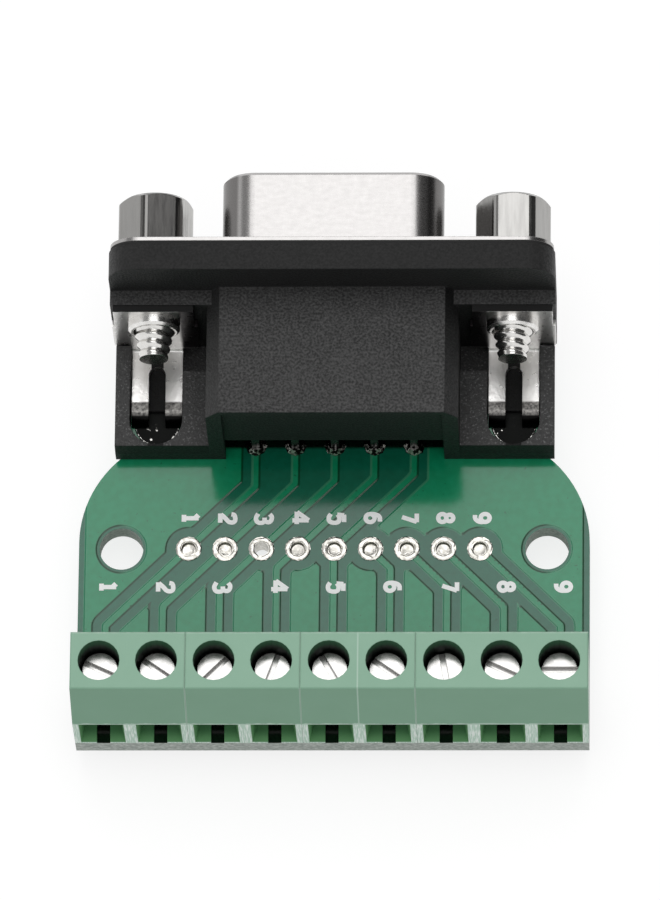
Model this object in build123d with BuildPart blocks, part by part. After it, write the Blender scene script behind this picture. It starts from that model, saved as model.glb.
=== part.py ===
"""Nine-pole D-sub socket to screw-terminal adapter, in millimetres.

The frame: X runs along the row of terminals, +Y points out of the socket, +Z is up from the board.
The origin is midway between the board's two mounting holes, on the board's underside.
"""

import os
from math import radians, tan

from build123d import *

os.makedirs("parts", exist_ok=True)

# Board
pole_count = 9
pole_pitch = 3.96
board_width = pole_count * pole_pitch
board_thickness = 1.6
board_front_reach = 14.3
shoulder_radius = 8.3
shoulder_centre_y = 0.5
neck_width = 30.0
mount_hole_spacing = 29.7
mount_hole_diameter = 3.05

# Row of plated holes between the two connectors
pad_pitch = 2.54
pad_diameter = 1.78
pad_hole_diameter = 1.05
pad_wall = 0.08
pad_thickness = 0.05

# Terminal housings, heights above the board
module_pole_counts = (2, 2, 2, 3)
module_gap = 0.01
block_height = 8.1
block_top_depth = 4.12
facet_run = 1.2
entry_height = 3.9
screw_to_rear = 2.07
screw_bore_diameter = 2.86
partition = 0.86
rear_wall = 0.67
lip_height = 0.2
lip_slot_width = 0.92
housing_edge_break = 0.06

# Clamp screw: the shank's end stands on the blade, so the head stays at one height
screw_head_diameter = 2.6
screw_head_height = 0.9
screw_head_break = 0.09
screw_shank_diameter = 2.0
screw_slot_width = 0.4
screw_slot_depth = 0.45
screw_slot_angles = (-25, -35, 45, 70, -60, -35, -80, -25, 0)
screw_tip_gap = 0.03

# Clamp cage: a band round the blade that the screw lifts
cage_side_gap = 0.1
cage_front_gap = 0.1
cage_rear_gap = 0.05
cage_wall = 0.42
cage_floor = 0.35
cage_lift_off = 0.45
cage_top_wall = 0.95
cage_head_room = 0.1
cage_thread_clearance = 0.05
clamp_travel = 1.4
blade_clearance = 0.05
wire_room = 1.5
cage_tooth_height = 0.06
cage_tooth_width = 0.24

# Terminal contact: a flat blade with one leg down through the board
contact_sheet = 0.4
blade_width = 1.8
blade_front_seat = 0.25
leg_width = 1.0
leg_slot_clearance = 0.05
leg_hole_diameter = 1.3

# Everything that comes through the board ends at one depth
tail_length_below_board = 1.6

# D-sub flange and shell, heights above the board
flange_front_y = 18.4
socket_axis_height = 6.45
jackscrew_spacing = 24.99
flange_width = 30.81
flange_height = 12.55
flange_corner_radius = 2.0
flange_sheet = 0.5
flange_hole_diameter = 3.1
shell_width = 16.33
shell_height = 7.9
shell_side_angle = 10.0
shell_corner_radius = 2.3
shell_wall = 0.4
shell_length = 5.8
shell_lip = 0.5
shell_front_bevel = 0.25

# Moulded connector body
body_flange_width = 31.0
body_flange_thickness = 1.9
ledge_height = 8.6
ledge_depth = 1.05
hood_width = 17.5
hood_height = 9.3
hood_rear = 11.72
hood_wall = 1.0
hood_roof = 1.0
hood_bevel = 0.9
hood_bevel_drop = 1.1
rear_panel_width = 15.3
rear_panel_sink = 0.3
rear_panel_wall = 0.4
rear_panel_top_margin = 0.5
rear_gap_height = 3.0
foot_height = 2.2
foot_width = 30.7
rail_width = 1.05
window_end = 5.93
lock_slot_width = 3.7
lock_slot_end = 11.4
foot_bevel_run = 0.2
foot_bevel_drop = 1.1
floor_clearance = 0.05
body_screw_hole_diameter = 3.3

# Socket face and its contacts
insulator_clearance = 0.05
insulator_nose_sink = 0.12
collar_width = 17.0
collar_height = 8.9
collar_corner_radius = 1.0
collar_clearance = 0.05
collar_depth = 1.4
upper_contact_count = 5
lower_contact_count = 4
contact_pitch = 2.77
contact_row_spacing = 2.84
pin_entry_diameter = 1.15
pin_entry_depth = 0.7
barrel_diameter = 1.6
barrel_bore_diameter = 1.04
barrel_bore_depth = 5.5
barrel_clearance = 0.05
barrel_tail_start = 1.95
barrel_slit = 0.18
tail_width = 0.55
tail_bend_radius = 0.8
front_row_to_flange = 7.86
tail_hole_diameter = 1.05

# Earthing brackets with board locks
bracket_sheet = 0.5
bracket_top = 8.5
bracket_neck_width = 5.6
bracket_wing_width = 5.95
bracket_wing_top = 5.7
bracket_wing_radius = 0.9
bracket_strip_width = 3.55
bracket_strip_height = 0.5
bracket_strip_bend = 0.45
lock_slot_start = 5.2
lock_slit_width = 1.17
lock_leg_y_from_flange = 9.15
lock_leg_width = 3.0
lock_bend = 0.75
lock_hole_diameter = 3.2
bracket_side_gap = 0.1
insert_diameter = 3.6
insert_projection = 0.75
insert_thread_clearance = 0.03

# Jackscrews: hexagonal standoffs with a threaded shank
hex_across_flats = 4.76
hex_length = 4.75
hex_crown = 0.45
hex_angle = {"left": 12.0, "right": 3.5}
thread_diameter = 2.84
tapped_diameter = 2.26
tapped_depth = 4.2
shank_end = 6.7
shank_taper = 0.45

# Solder
solder_cone_height = 1.0
solder_tip_collar = 0.12
solder_top_height = 0.35
leg_solder_diameter = 1.9
tail_solder_diameter = 1.6
lock_solder_height = 0.5
lock_solder_diameter = 3.6
lock_solder_tip_diameter = 3.3

# Band in which an edge counts as lying at a height
selection_margin = 0.01

# Small round sections that repeat are prisms with these numbers of sides
pad_side_count = 16
bore_side_count = 24
small_side_count = 12
solder_side_count = 8

# Worked out from the sizes above
deck = board_thickness
tail_end = -tail_length_below_board
board_front = -board_front_reach
block_depth = block_top_depth + facet_run
block_rear = board_front + block_depth
screw_y = block_rear - screw_to_rear
cell_width = pole_pitch - partition
cage_width = cell_width - 2 * cage_side_gap
cavity_rear = block_rear - rear_wall
blade_bottom = cage_lift_off + cage_floor + wire_room
blade_top = blade_bottom + contact_sheet
cage_rear = cavity_rear - cage_rear_gap
cage_depth = 2 * (cage_rear - screw_y)
cage_front = cage_rear - cage_depth
cavity_front = cage_front - cage_front_gap
cage_window_top = blade_top + blade_clearance
cage_top = cage_window_top + cage_top_wall
cage_height = cage_top - cage_lift_off
head_bottom = cage_top + clamp_travel + cage_head_room
head_top = head_bottom + screw_head_height
cavity_top = head_bottom + blade_clearance
leg_y = cavity_rear + contact_sheet / 2 + leg_slot_clearance / 2
socket_z = deck + socket_axis_height
body_front = flange_front_y - flange_sheet
body_flange_rear = body_front - body_flange_thickness
ledge_rear = body_flange_rear - ledge_depth
hood_rear_y = flange_front_y - hood_rear
hood_width_inside = hood_width - 2 * hood_wall
front_row_y = flange_front_y - front_row_to_flange
rear_row_y = front_row_y - contact_row_spacing
board_rear = body_flange_rear
lock_y = flange_front_y - lock_leg_y_from_flange
bracket_rear = ledge_rear - bracket_sheet
jackscrew_x = {"left": -jackscrew_spacing / 2, "right": jackscrew_spacing / 2}
pole_x = [pole_pitch * (pole - (pole_count - 1) / 2) for pole in range(pole_count)]
upper_x = [contact_pitch * (place - (upper_contact_count - 1) / 2) for place in range(upper_contact_count)]
lower_x = [contact_pitch * (place - (lower_contact_count - 1) / 2) for place in range(lower_contact_count)]
tail_places = [(x, rear_row_y) for x in upper_x] + [(x, front_row_y) for x in lower_x]


def upright(y, z=0.0):
    """A plane across the part at y: its x is the part's X, its y is the part's Z, its normal is -Y."""
    return Plane(origin=(0, y, z), x_dir=(1, 0, 0), z_dir=(0, -1, 0))


def side_on(x=0.0):
    """A plane along the part at x: its x is the part's Y, its y is the part's Z, its normal is +X."""
    return Plane(origin=(x, 0, 0), x_dir=(0, 1, 0), z_dir=(1, 0, 0))


def save(part, name):
    """Labels a finished piece and writes it to its own file."""
    part.label = name
    export_step(part, f"parts/{name}.step")


def prism_around(diameter, side_count):
    """A many-sided section whose flats touch a circle from outside, for a hole that a round piece fits."""
    with BuildSketch(mode=Mode.PRIVATE) as section:
        RegularPolygon(diameter / 2, side_count, major_radius=False)
    return section.sketch


def prism_inside(diameter, side_count):
    """A many-sided section whose corners lie on a circle, for a piece that goes into a round hole."""
    with BuildSketch(mode=Mode.PRIVATE) as section:
        RegularPolygon(diameter / 2, side_count)
    return section.sketch


def inset_d_section(inset):
    """The D of the socket, wide side up and sides leaning in, drawn inside the shell's outline by inset."""
    width = shell_width - 2 * inset
    height = shell_height - 2 * inset
    lean = height * tan(radians(shell_side_angle))
    corners = [
        (-width / 2, height / 2),
        (width / 2, height / 2),
        (width / 2 - lean, -height / 2),
        (lean - width / 2, -height / 2),
    ]
    with BuildSketch(mode=Mode.PRIVATE) as section:
        Polygon(*corners, align=None)
        fillet(section.vertices(), shell_corner_radius - inset)
    return section.sketch


def build_board():
    """The board: full width at the terminals, two round shoulders, and a neck under the socket."""
    half_width = board_width / 2
    half_neck = neck_width / 2
    arc_centre_x = half_width - shoulder_radius
    arc_rise = (shoulder_radius**2 - (half_neck - arc_centre_x) ** 2) ** 0.5
    with BuildPart() as board:
        with BuildSketch(Plane.XY):
            with Locations((0, (board_front + shoulder_centre_y) / 2)):
                Rectangle(board_width, shoulder_centre_y - board_front)
            for side in (-1, 1):
                with Locations((side * arc_centre_x, shoulder_centre_y)):
                    Circle(shoulder_radius)
            with Locations((0, (shoulder_centre_y + board_rear) / 2)):
                Rectangle(neck_width, board_rear - shoulder_centre_y)
            with Locations((0, shoulder_centre_y + arc_rise / 2)):
                Rectangle(2 * arc_centre_x, arc_rise)
        extrude(amount=board_thickness)
        with Locations(Plane.XY.offset(deck)):
            with GridLocations(mount_hole_spacing, 0, 2, 1):
                Hole(mount_hole_diameter / 2)
            with Locations(*[(x, lock_y) for x in jackscrew_x.values()]):
                Hole(lock_hole_diameter / 2)
        with BuildSketch(Plane.XY):
            with GridLocations(pad_pitch, 0, pole_count, 1):
                add(prism_inside(pad_hole_diameter + 2 * pad_wall, pad_side_count))
            with Locations(*[(x, leg_y) for x in pole_x]):
                add(prism_inside(leg_hole_diameter, solder_side_count))
            with Locations(*tail_places):
                add(prism_inside(tail_hole_diameter, solder_side_count))
        extrude(amount=board_thickness, mode=Mode.SUBTRACT)
    save(board.part, "board")


def build_pads():
    """Nine plated holes: a tinned barrel with a ring on each face of the board."""
    with BuildPart() as pads:
        with BuildSketch(Plane.XY.offset(-pad_thickness)):
            with GridLocations(pad_pitch, 0, pole_count, 1):
                add(prism_inside(pad_diameter, pad_side_count))
        extrude(amount=pad_thickness)
        with BuildSketch(Plane.XY.offset(deck)):
            with GridLocations(pad_pitch, 0, pole_count, 1):
                add(prism_inside(pad_diameter, pad_side_count))
        extrude(amount=pad_thickness)
        with BuildSketch(Plane.XY):
            with GridLocations(pad_pitch, 0, pole_count, 1):
                add(prism_inside(pad_hole_diameter + 2 * pad_wall, pad_side_count))
        extrude(amount=board_thickness)
        with BuildSketch(Plane.XY.offset(-pad_thickness)):
            with GridLocations(pad_pitch, 0, pole_count, 1):
                add(prism_inside(pad_hole_diameter, pad_side_count))
        extrude(amount=board_thickness + 2 * pad_thickness, mode=Mode.SUBTRACT)
    save(pads.part, "breakout_pads")


def block_profile():
    """The terminal housing's side view: upright front, sloped facet, flat top."""
    with BuildSketch(mode=Mode.PRIVATE) as profile:
        with BuildLine():
            Polyline(
                (block_rear, deck),
                (block_rear, deck + block_height),
                (block_rear - block_top_depth, deck + block_height),
                (board_front, deck + entry_height),
                (board_front, deck),
                close=True,
            )
        make_face()
    return profile.sketch


def build_terminal_housing(name, centres):
    """One moulded module: a cell for each pole, a screw bore above it and a wire funnel in front."""
    left = centres[0] - pole_pitch / 2 + module_gap / 2
    right = centres[-1] + pole_pitch / 2 - module_gap / 2
    inner_width = cage_width - 2 * cage_wall
    funnel_bottom = cage_lift_off + cage_floor
    with BuildPart() as housing:
        with BuildSketch(side_on(left)):
            add(block_profile())
        extrude(amount=right - left)
        top_edges = housing.edges().group_by(Axis.Z)[-1]
        chamfer(top_edges, housing_edge_break)
        for x in centres:
            with BuildSketch(Plane.XY.offset(deck)):
                with Locations((x, (cavity_front + cavity_rear) / 2)):
                    Rectangle(cell_width, cavity_rear - cavity_front)
                with Locations((x, cavity_rear)):
                    Rectangle(leg_width + 2 * leg_slot_clearance, 2 * rear_wall)
            extrude(amount=blade_top + blade_clearance, mode=Mode.SUBTRACT)
            with BuildSketch(Plane.XY.offset(deck)):
                with Locations((x, (cavity_front + cavity_rear) / 2)):
                    Rectangle(cell_width, cavity_rear - cavity_front)
            extrude(amount=cavity_top, mode=Mode.SUBTRACT)
            with BuildSketch(Plane.XY.offset(deck + block_height)):
                with Locations((x, screw_y)):
                    add(prism_around(screw_bore_diameter, bore_side_count))
            extrude(amount=-(block_height - cavity_top), mode=Mode.SUBTRACT)
            with BuildSketch(upright(board_front, deck)):
                with Locations((x, (lip_height + entry_height) / 2)):
                    Rectangle(cell_width, entry_height - lip_height)
            with BuildSketch(upright(cavity_front, deck)):
                with Locations((x, (funnel_bottom + blade_bottom) / 2)):
                    Rectangle(inner_width, blade_bottom - funnel_bottom)
            loft(mode=Mode.SUBTRACT)
            with BuildSketch(upright(cavity_front, deck)):
                with Locations((x, blade_bottom + contact_sheet / 2)):
                    Rectangle(blade_width + 2 * blade_clearance, contact_sheet + 2 * blade_clearance)
            extrude(amount=blade_front_seat + blade_clearance, mode=Mode.SUBTRACT)
            with BuildSketch(upright(board_front, deck)):
                with Locations((x, funnel_bottom / 2)):
                    Rectangle(lip_slot_width, funnel_bottom)
            extrude(amount=-(cavity_front - board_front), mode=Mode.SUBTRACT)
    save(housing.part, name)


def build_terminal_contact(name, x):
    """Blade under the screw and the leg that goes down behind the cage, bent from one strip."""
    blade_front = cavity_front - blade_front_seat
    blade_rear = cavity_rear - blade_clearance
    with BuildPart() as contact:
        with BuildSketch(Plane.XY.offset(deck + blade_top)):
            with Locations((x, (blade_front + blade_rear) / 2)):
                Rectangle(blade_width, blade_rear - blade_front)
            with Locations((x, (blade_front + leg_y) / 2)):
                Rectangle(leg_width, leg_y - blade_front)
        extrude(amount=-contact_sheet)
        with BuildSketch(upright(leg_y - contact_sheet / 2)):
            with Locations((x, (deck + blade_top + tail_end) / 2)):
                Rectangle(leg_width, deck + blade_top - tail_end)
        extrude(amount=-contact_sheet)
        inside_rear = contact.faces().filter_by(Axis.Y).sort_by(Axis.Y)[0]
        chamfer(inside_rear.edges().filter_by(Axis.X), contact_sheet / 4)
        tip = contact.faces().filter_by(Axis.Z).sort_by(Axis.Z)[0]
        chamfer(tip.edges().filter_by(Axis.Y), leg_width / 4)
    save(contact.part, name)


def build_clamp_cage(name, x):
    """Square band, open front and back, with the thread in its thick top and two teeth on its floor."""
    bottom = deck + cage_lift_off
    window_bottom = bottom + cage_floor
    window_top = deck + cage_window_top
    with BuildPart() as cage:
        with BuildSketch(upright(cage_front, bottom + cage_height / 2)) as band:
            with Locations((x, 0)):
                Rectangle(cage_width, cage_height)
            chamfer(band.vertices(), cage_wall / 4)
        extrude(amount=-cage_depth)
        with BuildSketch(upright(cage_front, (window_bottom + window_top) / 2)):
            with Locations((x, 0)):
                Rectangle(cage_width - 2 * cage_wall, window_top - window_bottom)
        extrude(amount=-cage_depth, mode=Mode.SUBTRACT)
        with BuildSketch(side_on(x - cage_width / 2 + cage_wall)):
            for tooth in (-1, 1):
                with Locations((screw_y + tooth * cage_depth / 6, window_bottom)):
                    Polygon(
                        (-cage_tooth_width / 2, 0),
                        (cage_tooth_width / 2, 0),
                        (0, cage_tooth_height),
                        align=None,
                    )
        extrude(amount=cage_width - 2 * cage_wall)
        with BuildSketch(Plane.XY.offset(bottom + cage_height)):
            with Locations((x, screw_y)):
                add(prism_around(screw_shank_diameter + 2 * cage_thread_clearance, small_side_count))
        extrude(amount=-(bottom + cage_height - window_top), mode=Mode.SUBTRACT)
    save(cage.part, name)


def build_terminal_screw(name, x, slot_angle):
    """Slotted clamp screw, with its slot as the photograph shows it."""
    with BuildPart() as screw:
        with BuildSketch(Plane.XY.offset(deck + blade_top + screw_tip_gap)):
            with Locations((x, screw_y)):
                add(prism_inside(screw_shank_diameter, small_side_count))
        extrude(amount=head_bottom - blade_top - screw_tip_gap)
        with BuildSketch(Plane.XY.offset(deck + head_bottom)):
            with Locations((x, screw_y)):
                Circle(screw_head_diameter / 2)
        extrude(amount=screw_head_height)
        chamfer(screw.edges().group_by(Axis.Z)[-1], screw_head_break)
        with BuildSketch(Plane.XY.offset(deck + head_top)):
            with Locations(Location((x, screw_y, 0), (0, 0, slot_angle))):
                Rectangle(screw_head_diameter, screw_slot_width)
        extrude(amount=-screw_slot_depth, mode=Mode.SUBTRACT)
    save(screw.part, name)


def build_shell():
    """Drawn steel shell: the flange, and the D-shaped skirt with its front edge turned in."""
    with BuildPart() as shell:
        with BuildSketch(upright(flange_front_y, socket_z)):
            RectangleRounded(flange_width, flange_height, flange_corner_radius)
            with GridLocations(jackscrew_spacing, 0, 2, 1):
                Circle(flange_hole_diameter / 2, mode=Mode.SUBTRACT)
        extrude(amount=flange_sheet)
        with BuildSketch(upright(flange_front_y, socket_z)):
            add(inset_d_section(0))
        extrude(amount=-shell_length)
        front_rim = shell.faces().sort_by(Axis.Y)[-1].edges()
        chamfer(front_rim, shell_front_bevel)
        with BuildSketch(upright(body_front, socket_z)):
            add(inset_d_section(shell_wall))
        extrude(amount=-(flange_sheet + shell_length - shell_wall), mode=Mode.SUBTRACT)
        with BuildSketch(upright(flange_front_y + shell_length, socket_z)):
            add(inset_d_section(shell_wall + shell_lip))
        extrude(amount=shell_wall, mode=Mode.SUBTRACT)
    save(shell.part, "socket_shell")


def build_insulator():
    """Moulded socket face: a D-shaped nose with nine pin entries and a collar held behind the shell."""
    inside = shell_wall + insulator_clearance
    nose = shell_wall + shell_lip + insulator_clearance
    shell_front = flange_front_y + shell_length
    collar_front = body_front - insulator_clearance
    collar_rear = collar_front - collar_depth
    shoulder = shell_front - shell_wall - insulator_clearance
    nose_front = shell_front - insulator_nose_sink
    upper_holes = [(x, contact_row_spacing / 2) for x in upper_x]
    lower_holes = [(x, -contact_row_spacing / 2) for x in lower_x]
    holes = upper_holes + lower_holes
    with BuildPart() as insulator:
        with BuildSketch(upright(collar_front, socket_z)):
            RectangleRounded(collar_width, collar_height, collar_corner_radius)
        extrude(amount=collar_depth)
        with BuildSketch(upright(collar_front, socket_z)):
            add(inset_d_section(inside))
        extrude(amount=collar_front - shoulder)
        with BuildSketch(upright(shoulder, socket_z)):
            add(inset_d_section(nose))
        extrude(amount=shoulder - nose_front)
        with BuildSketch(upright(nose_front, socket_z)):
            with Locations(*holes):
                add(prism_around(pin_entry_diameter, small_side_count))
        extrude(amount=pin_entry_depth, mode=Mode.SUBTRACT)
        with BuildSketch(upright(nose_front - pin_entry_depth, socket_z)):
            with Locations(*holes):
                add(prism_around(barrel_diameter + 2 * barrel_clearance, small_side_count))
        extrude(amount=nose_front - pin_entry_depth - collar_rear, mode=Mode.SUBTRACT)
    save(insulator.part, "socket_insulator")


def build_socket_contact(name, x, row_height, row_y):
    """Slit socket barrel with a square tail that runs back and turns down through the board."""
    barrel_front = flange_front_y + shell_length - insulator_nose_sink - pin_entry_depth - barrel_clearance
    barrel_rear = flange_front_y - barrel_tail_start
    axis_z = socket_z + row_height
    with BuildPart() as contact:
        with BuildSketch(upright(barrel_front, axis_z)):
            with Locations((x, 0)):
                add(prism_inside(barrel_diameter, small_side_count))
        extrude(amount=barrel_front - barrel_rear)
        with BuildSketch(upright(barrel_front, axis_z)):
            with Locations((x, 0)):
                add(prism_around(barrel_bore_diameter, small_side_count))
                Rectangle(barrel_diameter, barrel_slit)
        extrude(amount=barrel_bore_depth, mode=Mode.SUBTRACT)
        with BuildLine(side_on(x)) as path:
            FilletPolyline(
                (barrel_rear, axis_z),
                (row_y, axis_z),
                (row_y, tail_end),
                radius=tail_bend_radius,
            )
        with BuildSketch(upright(barrel_rear, axis_z)):
            with Locations((x, 0)):
                Rectangle(tail_width, tail_width)
        sweep(path=path.wires()[0])
    save(contact.part, name)


def build_connector_body():
    """Black moulding behind the shell: flange, ledge, hollow hood over the tails, and two slotted feet."""
    flange_bottom = socket_z - flange_height / 2
    hood_top = deck + hood_height
    foot_length = ledge_rear - hood_rear_y
    floor_end = lock_y + lock_bend + bracket_side_gap
    with BuildPart() as body:
        with BuildSketch(upright(body_front, socket_z)):
            RectangleRounded(body_flange_width, flange_height, flange_corner_radius)
        extrude(amount=body_flange_thickness)
        with BuildSketch(upright(body_flange_rear, (flange_bottom + deck + ledge_height) / 2)):
            Rectangle(body_flange_width, deck + ledge_height - flange_bottom)
        extrude(amount=ledge_depth)
        ledge_corners = body.edges().filter_by(Axis.Y).group_by(Axis.Z)[0]
        fillet(ledge_corners.sort_by(Axis.Y)[0:2], flange_corner_radius / 2)
        with BuildSketch(upright(body_flange_rear)):
            with BuildLine():
                Polyline(
                    (-hood_width / 2, deck),
                    (-hood_width / 2, hood_top - hood_bevel_drop),
                    (hood_bevel - hood_width / 2, hood_top),
                    (hood_width / 2 - hood_bevel, hood_top),
                    (hood_width / 2, hood_top - hood_bevel_drop),
                    (hood_width / 2, deck),
                    close=True,
                )
            make_face()
        extrude(amount=body_flange_rear - hood_rear_y)
        for side in (-1, 1):
            lock_x = side * jackscrew_spacing / 2
            foot_inner = hood_width / 2
            foot_outer = foot_width / 2
            rail_inner = foot_outer - rail_width
            slot_start = flange_front_y - window_end
            rail_start = bracket_rear - bracket_side_gap
            slot_centre = flange_front_y - lock_slot_end + lock_slot_width / 2
            with BuildSketch(Plane.XY.offset(deck)):
                with Locations((side * (foot_inner + foot_outer) / 2, (ledge_rear + hood_rear_y) / 2)):
                    Rectangle(foot_outer - foot_inner, foot_length)
                with Locations((side * (foot_inner + rail_inner) / 2, (ledge_rear + slot_start) / 2)):
                    Rectangle(rail_inner - foot_inner, ledge_rear - slot_start, mode=Mode.SUBTRACT)
                with Locations((side * (foot_inner + foot_outer) / 2, (ledge_rear + rail_start) / 2)):
                    Rectangle(foot_outer - foot_inner, ledge_rear - rail_start, mode=Mode.SUBTRACT)
                with Locations((lock_x, (slot_start + slot_centre) / 2)):
                    Rectangle(lock_slot_width, slot_start - slot_centre, mode=Mode.SUBTRACT)
                with Locations((lock_x, slot_centre)):
                    Circle(lock_slot_width / 2, mode=Mode.SUBTRACT)
            extrude(amount=foot_height)
            with BuildSketch(Plane.XY.offset(deck)):
                with Locations((side * (foot_inner + foot_outer) / 2, (floor_end + ledge_rear) / 2)):
                    Rectangle(foot_outer - foot_inner, ledge_rear - floor_end)
            extrude(amount=bracket_strip_height - floor_clearance)
            with BuildSketch(side_on(side * hood_width / 2)):
                with BuildLine():
                    Polyline(
                        (hood_rear_y, deck + foot_height),
                        (hood_rear_y + foot_bevel_run, deck + foot_height),
                        (hood_rear_y, deck + foot_height - foot_bevel_drop),
                        close=True,
                    )
                make_face()
            extrude(amount=side * (foot_outer - foot_inner), mode=Mode.SUBTRACT)
            plate_gap_bottom = deck + bracket_strip_height - floor_clearance
            with BuildSketch(Plane.XY.offset(plate_gap_bottom)):
                with Locations((lock_x, (ledge_rear + rail_start) / 2)):
                    Rectangle(bracket_wing_width + 2 * bracket_side_gap, ledge_rear - rail_start)
            extrude(amount=bracket_top - bracket_strip_height + 2 * bracket_side_gap, mode=Mode.SUBTRACT)
        panel_inside = hood_rear_y + rear_panel_sink + rear_panel_wall
        collar_seat = body_front - insulator_clearance - collar_depth - collar_clearance
        with BuildSketch(Plane.XY.offset(deck)):
            with Locations((0, (panel_inside + collar_seat) / 2)):
                Rectangle(hood_width_inside, collar_seat - panel_inside)
        extrude(amount=hood_height - hood_roof, mode=Mode.SUBTRACT)
        with BuildSketch(upright(body_front, socket_z)):
            RectangleRounded(collar_width, collar_height, collar_corner_radius)
            offset(amount=collar_clearance)
        extrude(amount=body_front - collar_seat, mode=Mode.SUBTRACT)
        with BuildSketch(upright(hood_rear_y, deck)):
            panel_height = hood_height - rear_panel_top_margin
            with Locations((0, panel_height / 2)):
                Rectangle(rear_panel_width, panel_height)
        extrude(amount=-rear_panel_sink, mode=Mode.SUBTRACT)
        with BuildSketch(upright(hood_rear_y, deck)):
            with Locations((0, rear_gap_height / 2)):
                Rectangle(rear_panel_width, rear_gap_height)
        extrude(amount=-(rear_panel_sink + rear_panel_wall), mode=Mode.SUBTRACT)
        with BuildSketch(upright(body_front, socket_z)):
            with GridLocations(jackscrew_spacing, 0, 2, 1):
                Circle(body_screw_hole_diameter / 2)
        extrude(amount=body_front - ledge_rear, mode=Mode.SUBTRACT)
    save(body.part, "connector_body")


def build_bracket(name, x):
    """Bent steel bracket: plate behind the flange, slit strip in the foot's slot, legs into the board."""
    plate_y = ledge_rear - bracket_sheet / 2
    strip_z = deck + bracket_strip_height + bracket_sheet / 2
    plate_bottom = deck + bracket_strip_height + bracket_sheet + bracket_strip_bend
    with BuildPart() as bracket:
        with BuildSketch(side_on(x)):
            with BuildLine() as run:
                FilletPolyline(
                    (plate_y, deck + bracket_top),
                    (plate_y, strip_z),
                    (lock_y, strip_z),
                    (lock_y, tail_end),
                    radius=[bracket_strip_bend, lock_bend],
                )
            trace(run.line, bracket_sheet)
        extrude(amount=bracket_wing_width / 2, both=True)
        with BuildSketch(upright(ledge_rear + bracket_sheet)):
            for side in (-1, 1):
                with Locations((x + side * (bracket_neck_width + bracket_wing_width) / 4, 0)):
                    shoulder = (bracket_wing_width - bracket_neck_width) / 2
                    with Locations((0, deck + (bracket_wing_top + bracket_top) / 2)):
                        Rectangle(shoulder, bracket_top - bracket_wing_top)
        extrude(amount=3 * bracket_sheet, mode=Mode.SUBTRACT)
        with BuildSketch(upright(ledge_rear + bracket_sheet)):
            trim = (bracket_wing_width - bracket_strip_width) / 2
            for side in (-1, 1):
                trim_x = x + side * (bracket_strip_width + trim) / 2
                with Locations((trim_x, (plate_bottom + tail_end) / 2)):
                    Rectangle(trim, plate_bottom - tail_end)
        extrude(amount=ledge_rear + bracket_sheet - lock_y + bracket_sheet, mode=Mode.SUBTRACT)
        wing_edges = bracket.edges().filter_by(Axis.Y).filter_by_position(
            Axis.Z, plate_bottom - selection_margin, plate_bottom + selection_margin
        )
        wing_edges = wing_edges.sort_by(Axis.X)
        fillet([wing_edges[0], wing_edges[-1]], bracket_wing_radius)
        with BuildSketch(upright(ledge_rear, socket_z)):
            with Locations((x, 0)):
                Circle(insert_diameter / 2)
        extrude(amount=bracket_sheet, mode=Mode.SUBTRACT)
        slit_start = flange_front_y - lock_slot_start
        with BuildSketch(Plane.XY.offset(strip_z + bracket_sheet)):
            with Locations((x, slit_start - lock_slit_width / 2)):
                Circle(lock_slit_width / 2)
            with Locations((x, (slit_start - lock_slit_width / 2 + lock_y - bracket_sheet) / 2)):
                Rectangle(lock_slit_width, slit_start - lock_slit_width / 2 - lock_y + bracket_sheet)
        extrude(amount=-(strip_z + bracket_sheet - tail_end), mode=Mode.SUBTRACT)
        with BuildSketch(upright(lock_y + lock_bend)):
            for side in (-1, 1):
                trim = (bracket_strip_width - lock_leg_width) / 2
                with Locations((x + side * (lock_leg_width + trim) / 2, (deck + tail_end) / 2)):
                    Rectangle(trim, deck - tail_end)
        extrude(amount=2 * lock_bend, mode=Mode.SUBTRACT)
    save(bracket.part, name)


def build_insert(name, x):
    """Threaded collar pressed into the bracket's plate."""
    with BuildPart() as insert:
        with BuildSketch(upright(ledge_rear, socket_z)):
            with Locations((x, 0)):
                Circle(insert_diameter / 2)
                Circle(thread_diameter / 2 + insert_thread_clearance, mode=Mode.SUBTRACT)
        extrude(amount=bracket_sheet + insert_projection)
        rear_rim = insert.faces().sort_by(Axis.Y)[0].edges().sort_by(SortBy.LENGTH)[-1]
        chamfer(rear_rim, insert_projection / 4)
    save(insert.part, name)


def build_jackscrew(name, x, angle):
    """Hexagonal standoff with a tapped end, and the threaded shank that holds the flange to the bracket."""
    with BuildPart() as jackscrew:
        with BuildSketch(upright(flange_front_y, socket_z)):
            with Locations(Location((x, 0, 0), (0, 0, angle))):
                RegularPolygon(hex_across_flats / 2, 6, major_radius=False)
        extrude(amount=-hex_length)
        with BuildSketch(upright(flange_front_y, socket_z)):
            with Locations((x, 0)):
                Circle(hex_across_flats / 3**0.5)
        extrude(amount=-hex_length, mode=Mode.INTERSECT)
        crown_edges = jackscrew.faces().sort_by(Axis.Y)[-1].edges()
        chamfer(crown_edges, hex_crown / 2)
        with BuildSketch(upright(flange_front_y, socket_z)):
            with Locations((x, 0)):
                Circle(thread_diameter / 2)
        extrude(amount=shank_end)
        tip = jackscrew.faces().sort_by(Axis.Y)[0].edges()
        chamfer(tip, shank_taper)
        with BuildSketch(upright(flange_front_y + hex_length, socket_z)):
            with Locations((x, 0)):
                Circle(tapped_diameter / 2)
        extrude(amount=tapped_depth, mode=Mode.SUBTRACT)
    save(jackscrew.part, name)


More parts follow.
